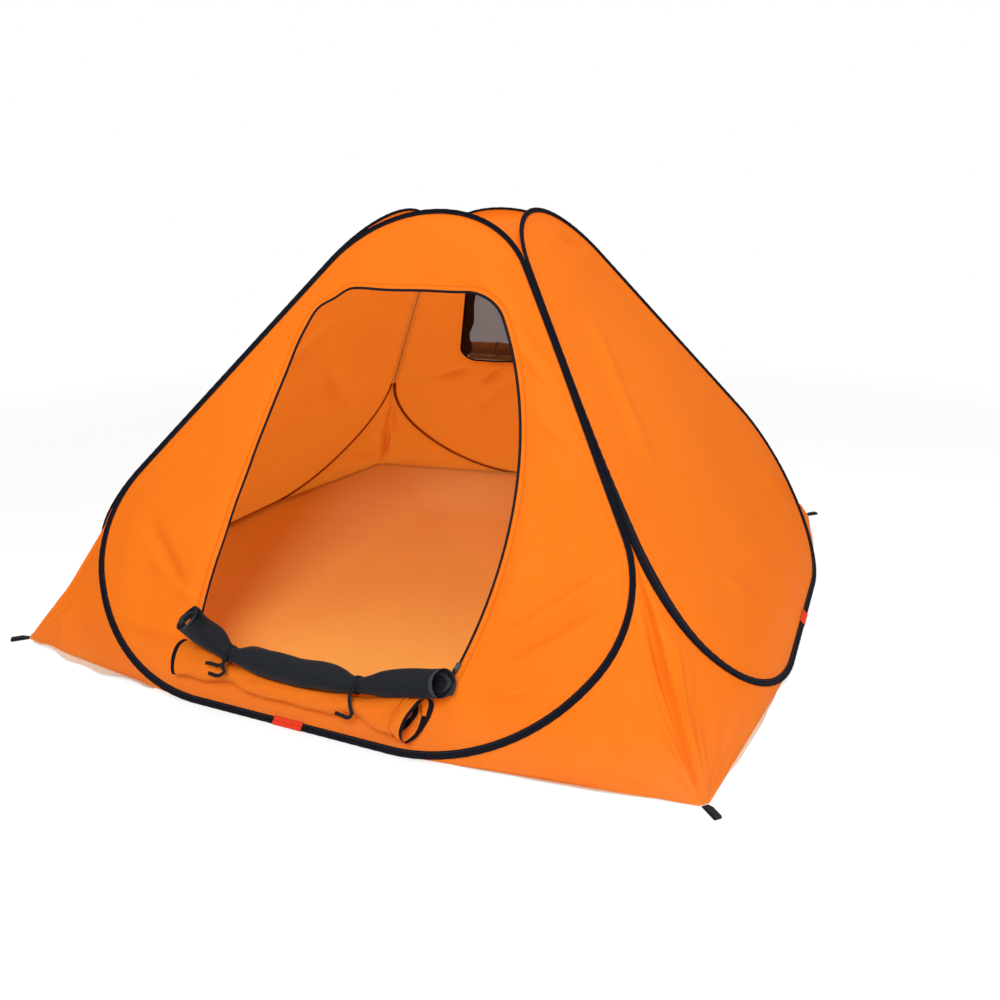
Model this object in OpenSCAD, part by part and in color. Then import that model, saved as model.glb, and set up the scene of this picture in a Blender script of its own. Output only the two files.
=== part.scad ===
// Pop-up tent. Four sprung wire hoops, each in a sewn sleeve, carry four walls that lean together.
// Slack gussets close the corners, and the floor, the roof, a rolled-down door and a window complete it.
// Millimetres. The origin is on the ground at the floor's centre, +Z is up, and the door faces -Y.
// Each wall has its own flat frame: x across it, s up its slope from the ground, n outwards.

/* [Tent] */
// Height from the ground to the top of the hoops
tent_h = 1200; // [1170:1:1230]
// Distance from the tent's centre to the plane of each hoop, along the ground
base_half = 1100; // [1080:1:1120]
// Lean of each wall from upright, in degrees
lean = 36.5; // [36:0.1:37]
// Distance that a floor corner lies inside the planes of the hoops, along X and along Y
corner_in = 100; // [80:1:130]
// Thickness of the wall, roof and gusset cloth
cloth_t = 1.6; // [1:0.1:2.2]
// Thickness of the floor
floor_t = 1.6; // [1:0.1:2.5]
// Gap between pieces that are sewn or seated together
seat_gap = 0.3; // [0.2:0.05:0.4]

/* [Hoops] */
// Radius of a hoop where it leaves the ground
heel_r = 525; // [480:1:560]
// Angle that a hoop turns on its heel radius, in degrees
heel_turn = 60; // [54:1:66]
// Radius of a hoop at its widest place
hip_r = 330; // [300:1:360]
// Diameter of the spring wire
wire_d = 4; // [3.5:0.1:4.5]
// Gap between the two butted ends of a hoop's wire
butt_gap = 0.5; // [0.2:0.1:1]
// Length of the ferrule that joins the wire's ends
ferrule_l = 40; // [30:1:60]
// Wall of the ferrule
ferrule_wall = 0.8; // [0.6:0.1:1]
// Clearance between the wire and the ferrule
wire_clear = 0.05; // [0.02:0.01:0.1]
// Wall of the sleeve's pocket
sleeve_wall = 1; // [0.8:0.1:1.1]
// Slit between the two layers of the sleeve's hem
hem_slit = 0.2; // [0.1:0.05:0.4]
// Gap in the sleeve at the foot of the hoop, where the wire goes in
sleeve_mouth = 12; // [6:1:30]
// Width of the sleeve's flat hem
hem_w = 14; // [12:0.5:18]
// Thickness of the sleeve's flat hem
hem_t = 2.4; // [2:0.1:3]
// Width of the tape over the inside of a seam
tape_w = 18; // [17:0.5:20]
// Thickness of that tape
tape_t = 1.2; // [0.8:0.1:1.6]
// Length of the coloured tag at the foot of a hoop
tag_l = 84; // [60:1:110]
// Thickness of the tag
tag_t = 0.9; // [0.7:0.1:1.2]

/* [Corners and roof] */
// Turn from a hoop's bottom at which a gusset begins, in degrees
gusset_from = 14; // [12:1:18]
// Turn before the seam, or past it, at which the hoops are far enough apart for cloth, in degrees
parting = 14; // [12:1:18]
// Width of a gusset at its tip
tip_w = 26; // [20:1:32]
// Depth of the folds in a gusset
fold_h = 14; // [8:1:18]
// Number of whole folds across a gusset
fold_count = 2; // [2:1:3]
// Sag of the roof at its middle
roof_dip = 30; // [10:1:45]
// Width of the pale floor hem beside a hoop
floor_hem_w = 32; // [20:1:40]
// Width of that hem where it ends near the corner
floor_hem_end_w = 6; // [4:1:10]
// Distance of the hem's ends from the corner, and from the hoop's foot
floor_hem_end = 30; // [25:1:40]

/* [Door] */
// Reach of the door opening to the left of the middle
door_left = 360; // [330:1:380]
// Reach of the door opening to the right of the middle
door_right = 445; // [420:1:455]
// Height of the door's sill, up the slope
door_sill = 205; // [190:1:215]
// Height of the door's top, up the slope
door_top = 1220; // [1190:1:1235]
// Radius of the door's nearly straight left side
left_side_r = 4000; // [3500:10:5000]
// Height of the widest place on the left side, up the slope
left_belly = 500; // [450:1:550]
// Radius of the door's curved right side
right_side_r = 1190; // [1150:1:1250]
// Height of the widest place on the right side, up the slope
right_belly = 550; // [520:1:580]
// Radius of the door's top left corner
left_corner_r = 110; // [80:1:130]
// Radius of the door's top right corner
right_corner_r = 150; // [130:1:170]
// Width of the binding round the door and the window
bind_w = 8; // [6:0.5:10]
// Thickness of the binding
bind_t = 3; // [2.4:0.1:3.4]

/* [Zip] */
// Radius of the zip's coil
coil_r = 1.5; // [1.2:0.1:1.8]
// Clearance between the coil and the slider
coil_clear = 0.4; // [0.3:0.05:0.5]
// Length of the slider along the zip
slider_l = 24; // [20:1:28]
// Width of the slider across the zip
slider_w = 11; // [10:0.5:13]
// Height of the slider's body
slider_h = 6; // [5.5:0.1:7]
// Radius of the slider's pin
pin_r = 1.2; // [1:0.1:1.4]
// Clearance between the pin and the pull's eye
pin_clear = 0.1; // [0.05:0.01:0.15]
// Wall of the pull's eye
eye_wall = 1.3; // [1:0.1:1.5]
// Length of the pull below its eye
pull_l = 40; // [30:1:50]
// Width of the pull
pull_w = 9; // [7:0.5:10]
// Thickness of the pull
pull_t = 2; // [1.6:0.1:2.4]
// Thickness of the posts that hold the slider's pin
post_w = 2; // [1.6:0.1:2.2]
// Inset of the posts from the slider's sides
post_in = 0.6; // [0.4:0.1:0.8]
// Distance of the pin from the slider's lower end
pin_from_end = 5; // [4:0.1:6]

/* [Door rolls] */
// Half length of the rolled mesh door
mesh_roll_half = 385; // [360:1:388]
// Radius of the rolled mesh door
mesh_roll_r = 33; // [28:0.5:35]
// Height of its middle, up the slope
mesh_roll_s = 155; // [150:1:160]
// Rise of its ends above its middle
mesh_roll_lift = 52; // [40:1:55]
// Stand-off of its ends from the cloth, further out than its middle
mesh_roll_stand = 9; // [8:0.5:12]
// Share of its radius that it loses at its ends
mesh_roll_taper = 0.1; // [0.05:0.01:0.15]
// Half length of the rolled outer door
outer_roll_half = 360; // [340:1:370]
// Half height of the rolled outer door at its middle, up the slope
outer_roll_r = 34; // [30:0.5:35]
// Extra half height at its ends
outer_roll_flare = 12; // [8:0.5:14]
// Half depth of the rolled outer door
outer_roll_depth = 24; // [20:0.5:26]
// Distance of a tie from the middle of the door
tie_x = 187; // [170:1:200]
// Depth that a tie pinches into the roll
tie_pinch = 11; // [8:0.5:12]
// Distance over which the roll swells again beside a tie
pinch_reach = 38; // [30:1:45]
// Dip of the roll at a tie
tie_dip = 18; // [10:0.5:20]
// Width of a tie
tie_w = 10; // [8:0.5:12]
// Thickness of a tie
tie_t = 1.2; // [1:0.1:1.5]
// Clearance between a tie and the roll
tie_clear = 0.9; // [0.8:0.05:0.98]
// Length of a tie's loose ends
tie_tail = 55; // [40:1:60]

/* [Window] */
// Half width of the window at its bottom
window_low_half = 365; // [340:1:380]
// Half width of the window at its top
window_top_half = 200; // [180:1:230]
// Height of the window's bottom, up the slope
window_low = 760; // [745:1:775]
// Height of the window's top, up the slope
window_top = 1190; // [1160:1:1210]
// Radius of the window's corners
window_corner_r = 45; // [35:1:60]
// Thickness of the window's mesh
mesh_t = 1; // [0.8:0.1:1.4]
// Radius of the rolled window cover
cover_r = 27; // [24:0.5:28]
// Half length of the rolled window cover
cover_half = 330; // [300:1:345]
// Distance of a window tie from the middle
cover_tie_x = 200; // [150:1:230]

/* [Peg loops] */
// Length of a peg loop
loop_l = 50; // [44:1:56]
// Width of the webbing
loop_w = 17; // [15:0.5:20]
// Thickness of the webbing
loop_t = 1.5; // [1.2:0.1:1.8]
// Clear height inside the loop
loop_gap = 6; // [5:0.1:7]
// Length of the sewn, closed part of the loop
loop_sewn = 9; // [7:0.5:11]

/* [Hidden] */
$fn = 48;
// Sides of the zip's full circle and of its coil's section
zip_sides = 720;
bead_sides = 24;

// Which side or corner a piece is on, counted anticlockwise from the front
front = 0;
right = 1;
back = 2;
left = 3;

// Colours
orange = [0.96, 0.5, 0.1];
inner_orange = [0.8, 0.42, 0.16];
black = [0.06, 0.065, 0.08];
pale = [0.92, 0.86, 0.82];
red = [0.85, 0.16, 0.1];
steel = [0.6, 0.61, 0.63];
net_grey = [0.3, 0.31, 0.32];

// Steps along each arc of an outline, and sides of a wire and of a sleeve's pocket
arc_steps = 8;
wire_sides = 6;
sleeve_sides = 8;
// Steps along each part of a roll, and sides round it
roll_steps = 8;
roll_sides = 10;
// Steps along one hoop and towards the tip of a gusset, and each way across the roof
gusset_steps = 12;
tip_steps = 5;
roof_steps = 12;
// Overshoot of a cut past the face that it opens, and overlap of two joined solids
over = 1;
// Angle at each end of the door's side that the zip leaves free, in degrees
zip_end = 0.6;
// Angle by which the tags end short of the ground, in degrees
tag_lift = 2;
// Weight that keeps the roof's mean defined at its corners
least_weight = 0.0001;

// The sleeve's section
wire_r = wire_d / 2;
ferrule_bore_r = wire_r + wire_clear;
ferrule_r = ferrule_bore_r + ferrule_wall;
pocket_r = (ferrule_r + seat_gap) / cos(180 / (sleeve_sides - 1));
sleeve_r = pocket_r + sleeve_wall;
sleeve_reach = sleeve_r + hem_w;

// Angles: between two walls' outward faces, half the angle inside their seam, a hoop's side, the seam
wall_turn = acos(pow(sin(lean), 2));
seam_half = 90 - wall_turn / 2;
side_lean = atan(sin(lean));
seam_lean = atan(sqrt(2) * tan(lean));
side_heading = 90 + side_lean;

// A hoop's centre line: two heels, two hips, straight sides beside the seams, and a crown
seam_off = (2 * sleeve_r + seat_gap) / (2 * sin(seam_half));
hoop_half = base_half - seam_off / cos(side_lean);
hoop_low = sleeve_r / cos(lean);
hoop_top = (tent_h - sleeve_r) / cos(lean);
crown_r = (hoop_half - sin(lean) * hoop_top) / (1 / cos(side_lean) - sin(lean));
crown_c = [0, hoop_top - crown_r];
hip_s = hoop_low + heel_r - (heel_r - hip_r) * cos(heel_turn);
hip_c = [hoop_half - sin(lean) * hip_s - hip_r / cos(side_lean), hip_s];
heel_c = [hip_c.x - (heel_r - hip_r) * sin(heel_turn), hoop_low + heel_r];
side_foot = hip_c + polar(hip_r, side_lean);
side_head = crown_c + polar(crown_r, side_lean);
// Cloth that leaves a sleeve sideways starts this far from the wire
edge_off = sleeve_r + seat_gap + cloth_t / 2;

// The door's corner circles, each touching the side arc and the top
door_left_c = [left_side_r - door_left, left_belly];
door_right_c = [door_right - right_side_r, right_belly];
left_corner_turn = asin((door_top - left_corner_r - left_belly) / (left_side_r - left_corner_r));
right_corner_turn = asin((door_top - right_corner_r - right_belly) / (right_side_r - right_corner_r));
left_corner_c = door_left_c + polar(left_side_r - left_corner_r, 180 - left_corner_turn);
right_corner_c = door_right_c + polar(right_side_r - right_corner_r, right_corner_turn);

// The zip follows the door's right side, and the slider rests at its lower end
zip_r = right_side_r + bind_w / 2;
zip_from = asin((door_sill - right_belly) / right_side_r) + zip_end;
zip_to = right_corner_turn - zip_end;
slider_at = zip_from + atan(slider_l / 2 / zip_r);
coil_n = bind_t / 2 + seat_gap + coil_r;
slider_n = bind_t / 2 + seat_gap;
eye_r = pin_r + pin_clear + eye_wall;
pin_n = slider_n + slider_h + seat_gap + eye_r;
post_l = 2 * (pin_r + eye_wall);
eye_w = slider_w - 2 * (post_in + post_w + coil_clear);
neck_l = post_l / 2 + pull_t;
// The pull droops until its end lies just over the coil
pull_droop = asin((pin_n - pull_t / 2 - coil_n - coil_r - seat_gap) / pull_l);

// Folding line of each corner, at 45 degrees between two sides
corner_turn = -45;
corner_half = base_half - corner_in;
corner_r = corner_half * sqrt(2);
tip_r = corner_r - cloth_t;
tip_z = floor_t + seat_gap + cloth_t / 2;
floor_in = sleeve_r + seat_gap;
floor_edge = base_half - hoop_low * sin(lean) - floor_in;
loop_h = loop_gap + 2 * loop_t;

// The window cover's axis: inside the binding's sill, with its ties just clear of the mesh
cover_s = window_low + cover_r + tie_clear + tie_t + bind_w;
cover_n = mesh_t / 2 + seat_gap + tie_clear + tie_t + cover_r;

function polar(r, a) = [r * cos(a), r * sin(a)];
// Corners of a ring of n points, open by mouth on the side that faces the wall
function ring(r, n, mouth) =
    let (a = 180 - asin(mouth / 2 / r)) [for (k = [0 : n - 1]) polar(r, a * (2 * k / (n - 1) - 1))];
function arc(c, r, a0, a1, first = 0) =
    [for (k = [first : arc_steps]) c + polar(r, a0 + (a1 - a0) * k / arc_steps)];

// Stations of a hoop from its foot up its right side, over the crown and down: [centre, radius, heading]
function station_row(c, r, h0, h1, first) =
    [for (k = [first : arc_steps]) [c, r, h0 + (h1 - h0) * k / arc_steps]];
function half_stations() = concat(
    station_row(heel_c, heel_r, 0, heel_turn, 0),
    station_row(hip_c, hip_r, heel_turn, side_heading, 1),
    station_row(crown_c, crown_r, side_heading, 180, 0));
function mirrored(station) = [[-station[0].x, station[0].y], station[1], 360 - station[2]];
function stations() =
    let (half = half_stations())
    concat(half, [for (k = [len(half) - 2 : -1 : 0]) mirrored(half[k])]);
// The point beside a station, off outwards from the wire
function beside(station, off) = station[0] + polar(station[1] + off, station[2] - 90);

// Door outline, grown outwards by grow
function door_outline(grow) = concat(
    arc(door_right_c, right_side_r + grow,
        asin((door_sill - grow - right_belly) / (right_side_r + grow)), right_corner_turn),
    arc(right_corner_c, right_corner_r + grow, right_corner_turn, 90, 1),
    arc(left_corner_c, left_corner_r + grow, 90, 180 - left_corner_turn),
    arc(door_left_c, left_side_r + grow, 180 - left_corner_turn,
        180 + asin((left_belly - door_sill + grow) / (left_side_r + grow)), 1));

// Window outline, a trapezoid with round corners, grown outwards by grow
function window_outline(grow) =
    let (slope = atan((window_low_half - window_top_half) / (window_top - window_low)))
    let (low_c = [window_low_half - window_corner_r * tan(45 + slope / 2), window_low + window_corner_r])
    let (top_c = [window_top_half - window_corner_r * tan(45 - slope / 2), window_top - window_corner_r])
    let (r = window_corner_r + grow)
    let (half = concat(arc(low_c, r, -90, slope), arc(top_c, r, slope, 90)))
    concat(half, [for (k = [len(half) - 1 : -1 : 0]) [-half[k].x, half[k].y]]);

// A point of the front wall's frame, in the tent's frame
function front_point(p) = [p.x, p.y * sin(lean) - base_half, p.y * cos(lean)];
function quarter_turn(q) = [-q.y, q.x, q.z];
// Mirror image in the upright plane through the front right corner
function across(q) = [-q.y, -q.x, q.z];

// Puts what is drawn in a wall's frame on that side of the tent
module on_side(side) {
    rotate([0, 0, 90 * side]) translate([0, -base_half, 0]) rotate([90 - lean, 0, 0]) children();
}

// Puts what is drawn along +X at the corner that follows that side
module at_corner(side) {
    rotate([0, 0, 90 * side + corner_turn]) children();
}

// Carries a section, given outwards from the wire and along n, round a hoop, open by split at its foot
module hoop(section, split, ribbon = false) {
    foot = [[split / 2, heel_c.y], heel_r, 0];
    points = len(section);
    roll([for (station = concat([foot], stations(), [mirrored(foot)]))
        [for (k = [points - 1 : -1 : 0])
            let (p = beside(station, section[k].x)) [p.x, p.y, section[k].y]]], ribbon);
}

// A closed cloth solid about a grid of points, thick by t
module cloth(grid, t) {
    m = len(grid);
    n = len(grid[0]);
    function step_i(i, j) = grid[min(i + 1, m - 1)][j] - grid[max(i - 1, 0)][j];
    function step_j(i, j) = grid[i][min(j + 1, n - 1)] - grid[i][max(j - 1, 0)];
    function normal(i, j) = let (c = cross(step_i(i, j), step_j(i, j))) c / norm(c);
    top = [for (i = [0 : m - 1], j = [0 : n - 1]) grid[i][j] + normal(i, j) * t / 2];
    low = [for (i = [0 : m - 1], j = [0 : n - 1]) grid[i][j] - normal(i, j) * t / 2];
    function a(i, j) = i * n + j;
    function b(i, j) = m * n + i * n + j;
    faces = concat(
        [for (i = [0 : m - 2], j = [0 : n - 2]) each [
            [a(i, j), a(i + 1, j + 1), a(i + 1, j)], [a(i, j), a(i, j + 1), a(i + 1, j + 1)],
            [b(i, j), b(i + 1, j), b(i + 1, j + 1)], [b(i, j), b(i + 1, j + 1), b(i, j + 1)]]],
        [for (i = [0 : m - 2]) each [
            [b(i, 0), a(i, 0), a(i + 1, 0)], [b(i, 0), a(i + 1, 0), b(i + 1, 0)],
            [b(i, n - 1), a(i + 1, n - 1), a(i, n - 1)], [b(i, n - 1), b(i + 1, n - 1), a(i + 1, n - 1)]]],
        [for (j = [0 : n - 2]) each [
            [b(0, j + 1), a(0, j + 1), a(0, j)], [b(0, j + 1), a(0, j), b(0, j)],
            [b(m - 1, j + 1), a(m - 1, j), a(m - 1, j + 1)], [b(m - 1, j + 1), b(m - 1, j), a(m - 1, j)]]]);
    polyhedron(concat(top, low), faces);
}

// A closed roll through rings of points that follow each other along x
// The ends of a ribbon, whose second half of points runs back beside the first, are closed across it
module roll(rings, ribbon = false) {
    m = len(rings);
    n = len(rings[0]);
    function a(i, j) = i * n + j % n;
    cap = ribbon
        ? [for (j = [0 : n / 2 - 2]) each [[j, j + 1, n - 1 - j], [j + 1, n - 2 - j, n - 1 - j]]]
        : [for (j = [1 : n - 2]) [0, j, j + 1]];
    faces = concat(
        [for (i = [0 : m - 2], j = [0 : n - 1]) each [
            [a(i, j), a(i + 1, j + 1), a(i, j + 1)], [a(i, j), a(i + 1, j), a(i + 1, j + 1)]]],
        cap,
        [for (face = cap) [for (k = [2 : -1 : 0]) a(m - 1, face[k])]]);
    polyhedron([for (ring = rings) each ring], faces);
}

// Hoops

module hoop_wire(side) {
    color(steel) on_side(side) hoop(ring(wire_r, wire_sides, wire_r), butt_gap);
}
module front_hoop_wire() { hoop_wire(front); }
module right_hoop_wire() { hoop_wire(right); }
module back_hoop_wire() { hoop_wire(back); }
module left_hoop_wire() { hoop_wire(left); }

module wire_ferrules() {
    color(steel) for (side = [front : left]) on_side(side)
        translate([-ferrule_l / 2, hoop_low, 0]) rotate([0, 90, 0]) difference() {
            cylinder(r = ferrule_r, h = ferrule_l);
            translate([0, 0, -over]) cylinder(r = ferrule_bore_r, h = ferrule_l + 2 * over);
        }
}

// A tape folded round the wire, with its two layers sewn together as a hem towards the wall
module sleeve(side) {
    outer = ring(sleeve_r, sleeve_sides, hem_t);
    inner = ring(pocket_r, sleeve_sides, hem_slit + seat_gap);
    section = concat(
        [[-sleeve_reach, -hem_t / 2]], outer, [[-sleeve_reach, hem_t / 2], [-sleeve_reach, hem_slit / 2]],
        [for (k = [sleeve_sides - 1 : -1 : 0]) inner[k]], [[-sleeve_reach, -hem_slit / 2]]);
    color(black) on_side(side) hoop(section, sleeve_mouth, ribbon = true);
}
module front_sleeve() { sleeve(front); }
module right_sleeve() { sleeve(right); }
module back_sleeve() { sleeve(back); }
module left_sleeve() { sleeve(left); }

// A tag lies round the outer side of each sleeve's foot, clear of the ground
module hoop_tags() {
    inner = sleeve_r + seat_gap;
    outer = inner + tag_t;
    low_turn = lean + asin(sleeve_r / outer) - tag_lift;
    section = concat(
        [[hem_w, hem_t / 2 + seat_gap + tag_t], [hem_w, hem_t / 2 + seat_gap]],
        arc([0, 0], inner, asin((hem_t / 2 + seat_gap) / inner), 90 + low_turn),
        arc([0, 0], outer, 90 + low_turn, asin((hem_t / 2 + seat_gap + tag_t) / outer)));
    color(red) for (side = [front : left]) on_side(side)
        translate([-tag_l / 2, hoop_low, 0]) rotate([90, 0, 90]) linear_extrude(tag_l) polygon(section);
}

// Walls, roof and seams

module wall(side) {
    color(orange) on_side(side) translate([0, 0, -cloth_t / 2]) linear_extrude(cloth_t) difference() {
        polygon([for (station = stations()) beside(station, -sleeve_reach - seat_gap)]);
        children();
    }
}
module front_wall() { wall(front) polygon(door_outline(bind_w + seat_gap)); }
module right_wall() { wall(right); }
module back_wall() { wall(back) polygon(window_outline(bind_w + seat_gap)); }
module left_wall() { wall(left); }

// The roof spans the four crowns: a weighted mean of a front-to-back and a side-to-side ruled sheet
module roof() {
    start = side_lean + parting;
    function crown(u) =
        front_point(crown_c + polar(crown_r + edge_off, 180 - start - u * (180 - 2 * start)));
    function front_back(u, v) =
        crown(u) * (1 - v) + quarter_turn(quarter_turn(crown(1 - u))) * v;
    function left_right(u, v) =
        quarter_turn(quarter_turn(quarter_turn(crown(1 - v)))) * (1 - u) + quarter_turn(crown(v)) * u;
    function weight(u) = u * (1 - u) + least_weight;
    function dip(u, v) = [0, 0, -16 * roof_dip * u * (1 - u) * v * (1 - v)];
    function spot(u, v) =
        (front_back(u, v) * weight(u) + left_right(u, v) * weight(v)) / (weight(u) + weight(v)) + dip(u, v);
    color(orange) cloth([for (i = [0 : roof_steps])
        [for (j = [0 : roof_steps]) spot(i / roof_steps, j / roof_steps)]], cloth_t);
}

// A tape covers the inside of the seam between each two sleeves
module seam_tapes() {
    depth = (hem_t / 2 + seat_gap + cos(seam_half) * tape_w / 2) / sin(seam_half);
    low = side_foot.y + hem_w;
    high = side_head.y - hem_w;
    color(inner_orange) for (side = [front : left]) at_corner(side)
        translate([sqrt(2) * (base_half - low * sin(lean)), 0, low * cos(lean)]) rotate([0, -seam_lean, 0])
            translate([-depth - tape_t, -tape_w / 2, 0])
                cube([tape_t, tape_w, (high - low) / cos(side_lean)]);
}

// Corners and floor

// Cloth from two hoops' lower bends to the floor's corner, with folds that run to the tip
module gusset(side) {
    last = side_heading - parting;
    m = gusset_steps;
    function hoop_edge(heading) = heading < heel_turn
        ? heel_c + polar(heel_r + edge_off, heading - 90)
        : hip_c + polar(hip_r + edge_off, heading - 90);
    function edge_at(k) = front_point(hoop_edge(gusset_from + (last - gusset_from) * k / m));
    function edge(i) = i <= m ? edge_at(i) : across(edge_at(2 * m - i));
    function tip(i) =
        [tip_r / sqrt(2), -tip_r / sqrt(2), tip_z] + (i / m - 1) * tip_w / 2 * [1, 1, 0] / sqrt(2);
    outwards = [1, -1, 1] / sqrt(3);
    function fold(i, v) = fold_h * sin(180 * fold_count * i / m) * sin(180 * v) * outwards;
    color(orange) rotate([0, 0, 90 * side]) cloth([for (i = [0 : 2 * m])
        [for (j = [0 : tip_steps]) let (v = j / tip_steps) edge(i) * (1 - v) + tip(i) * v + fold(i, v)]],
        cloth_t);
}
module front_right_gusset() { gusset(front); }
module back_right_gusset() { gusset(right); }
module back_left_gusset() { gusset(back); }
module front_left_gusset() { gusset(left); }

// The floor reaches the feet of the hoops and the four corners
module floor_sheet() {
    color(inner_orange) linear_extrude(floor_t) polygon([for (side = [front : left])
        let (c = cos(90 * side), s = sin(90 * side))
        for (p = [[-heel_c.x, -floor_edge], [heel_c.x, -floor_edge], [corner_half, -corner_half]])
            [p.x * c - p.y * s, p.x * s + p.y * c]]);
}

// Pale strips of the floor's hem show beside the feet of the hoops, narrowing to the corners
module floor_hems() {
    run_x = corner_half - heel_c.x;
    run_y = floor_edge - corner_half;
    edge_l = norm([run_x, run_y]);
    foot = heel_r * sin(gusset_from) + floor_hem_end;
    color(pale) for (side = [front : left], m = [0, 1]) rotate([0, 0, 90 * side]) mirror([m, 0, 0])
        translate([heel_c.x, -floor_edge, 0]) rotate([0, 0, atan2(run_y, run_x)])
            linear_extrude(floor_t) polygon([
                [foot, -seat_gap], [foot, -floor_hem_w],
                [edge_l - floor_hem_end, -floor_hem_end_w], [edge_l - floor_hem_end, -seat_gap]]);
}

// Door and zip

module door_binding() {
    color(black) on_side(front) translate([0, 0, -bind_t / 2]) linear_extrude(bind_t) difference() {
        polygon(door_outline(bind_w));
        polygon(door_outline(0));
    }
}

// Puts a piece at the slider's place: x across the zip, y along it, z outwards
module at_slider() {
    on_side(front) translate([door_right_c.x, door_right_c.y, 0]) rotate([0, 0, slider_at])
        translate([zip_r, 0, 0]) children();
}

// A round bead along the zip, of radius r
module zip_bead(r, from, to) {
    translate([door_right_c.x, door_right_c.y, coil_n]) rotate([0, 0, from])
        rotate_extrude(angle = to - from, $fn = zip_sides) translate([zip_r, 0]) circle(r, $fn = bead_sides);
}

module zip_coil() {
    color(black) on_side(front) zip_bead(coil_r, zip_from, zip_to);
}

// The slider straddles the coil and carries the pull's pin between two posts
module zip_slider() {
    margin = 2 * zip_end;
    pin_l = slider_w - 2 * post_in - post_w;
    post_foot = slider_n + slider_h - post_w / 2;
    color(black) union() {
        difference() {
            at_slider() translate([-slider_w / 2, -slider_l / 2, slider_n])
                cube([slider_w, slider_l, slider_h]);
            on_side(front) zip_bead(coil_r + coil_clear, slider_at - margin, slider_at + margin);
        }
        at_slider() translate([0, pin_from_end - slider_l / 2, 0]) {
            for (m = [0, 1]) mirror([m, 0, 0])
                translate([slider_w / 2 - post_in - post_w, -post_l / 2, post_foot])
                    cube([post_w, post_l, pin_n + pin_r + eye_wall - post_foot]);
            translate([-pin_l / 2, 0, pin_n]) rotate([0, 90, 0]) cylinder(r = pin_r, h = pin_l);
        }
    }
}

// The pull turns on the slider's pin and droops towards the cloth
module zip_pull() {
    color(black) at_slider() translate([0, pin_from_end - slider_l / 2, pin_n]) rotate([pull_droop, 0, 0])
        difference() {
            union() {
                translate([-eye_w / 2, 0, 0]) rotate([0, 90, 0]) cylinder(r = eye_r, h = eye_w);
                translate([-eye_w / 2, -neck_l - over, -pull_t / 2]) cube([eye_w, neck_l + over, pull_t]);
                translate([-pull_w / 2, -pull_l, -pull_t / 2]) cube([pull_w, pull_l - neck_l, pull_t]);
            }
            translate([-slider_w, 0, 0]) rotate([0, 90, 0]) cylinder(r = pin_r + pin_clear, h = 2 * slider_w);
        }
}

// Door rolls

// How far the ties draw the rolls in at x, from 0 to 1
function pinch(x) = exp(-pow(max(abs(abs(x) - tie_x) - tie_w / 2, 0) / pinch_reach, 2));
// Places along a roll, with one at each edge of a tie
function steps(from, to) = [for (k = [0 : roll_steps]) from + (to - from) * k / roll_steps];
function roll_stations(half) = concat(
    steps(-half, -tie_x - tie_w / 2),
    steps(-tie_x + tie_w / 2, tie_x - tie_w / 2),
    steps(tie_x + tie_w / 2, half));
function mesh_roll_radius(x) =
    mesh_roll_r * (1 - mesh_roll_taper * pow(x / mesh_roll_half, 2)) - tie_pinch * pinch(x);
function mesh_roll_place(x) =
    let (u = pow(x / mesh_roll_half, 2))
    [mesh_roll_s + mesh_roll_lift * u - tie_dip * pinch(x),
     cloth_t / 2 + seat_gap + mesh_roll_r + mesh_roll_stand * u];

// One ring of a roll across the wall's frame: half height rs along s, half depth rn along n
function roll_ring(x, place, rs, rn) = [for (k = [0 : roll_sides - 1])
    let (p = polar(1, 360 * k / roll_sides - 90)) [x, place[0] + rs * p.x, place[1] + rn * p.y]];

module mesh_door_roll() {
    color(black) on_side(front) roll([for (x = roll_stations(mesh_roll_half))
        let (r = mesh_roll_radius(x)) roll_ring(x, mesh_roll_place(x), r, r)]);
}

// The outer door's roll lies under the mesh roll, against the wall
module outer_door_roll() {
    low = mesh_roll_s - mesh_roll_r - outer_roll_r - 2 * seat_gap;
    depth_n = cloth_t / 2 + seat_gap + outer_roll_depth;
    color(orange) on_side(front) roll([for (x = roll_stations(outer_roll_half))
        let (flare = outer_roll_flare * pow(x / outer_roll_half, 2))
        let (place = [low + flare - tie_dip * pinch(x), depth_n])
        roll_ring(x, place, outer_roll_r + flare - tie_pinch / 2 * pinch(x), outer_roll_depth)]);
}

// A tape round the mesh roll with two loose ends in front
module roll_tie(x) {
    place = mesh_roll_place(x);
    inner = mesh_roll_radius(x) + tie_clear;
    outer = inner + tie_t;
    color(black) on_side(front) translate([x - tie_w / 2, place[0], place[1]]) {
        rotate([0, 90, 0]) difference() {
            cylinder(r = outer, h = tie_w);
            translate([0, 0, -over]) cylinder(r = inner, h = tie_w + 2 * over);
        }
        translate([0, -tie_tail, inner]) cube([tie_w, tie_tail, tie_t]);
    }
}
module left_roll_tie() { roll_tie(-tie_x); }
module right_roll_tie() { roll_tie(tie_x); }

// Window

module window_binding() {
    color(black) on_side(back) translate([0, 0, -bind_t / 2]) linear_extrude(bind_t) difference() {
        polygon(window_outline(bind_w));
        polygon(window_outline(0));
    }
}
module window_mesh() {
    color(net_grey) on_side(back) translate([0, 0, -mesh_t / 2]) linear_extrude(mesh_t)
        polygon(window_outline(-seat_gap));
}

// The cover is rolled down to the window's sill, outside the mesh
module window_cover_roll() {
    color(orange) on_side(back) translate([-cover_half, cover_s, cover_n]) rotate([0, 90, 0])
        cylinder(r = cover_r, h = 2 * cover_half);
}
module window_ties() {
    color(black) on_side(back) for (m = [-1, 1])
        translate([m * cover_tie_x - tie_w / 2, cover_s, cover_n]) rotate([0, 90, 0]) difference() {
            cylinder(r = cover_r + tie_clear + tie_t, h = tie_w);
            translate([0, 0, -over]) cylinder(r = cover_r + tie_clear, h = tie_w + 2 * over);
        }
}

// Peg loops

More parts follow.
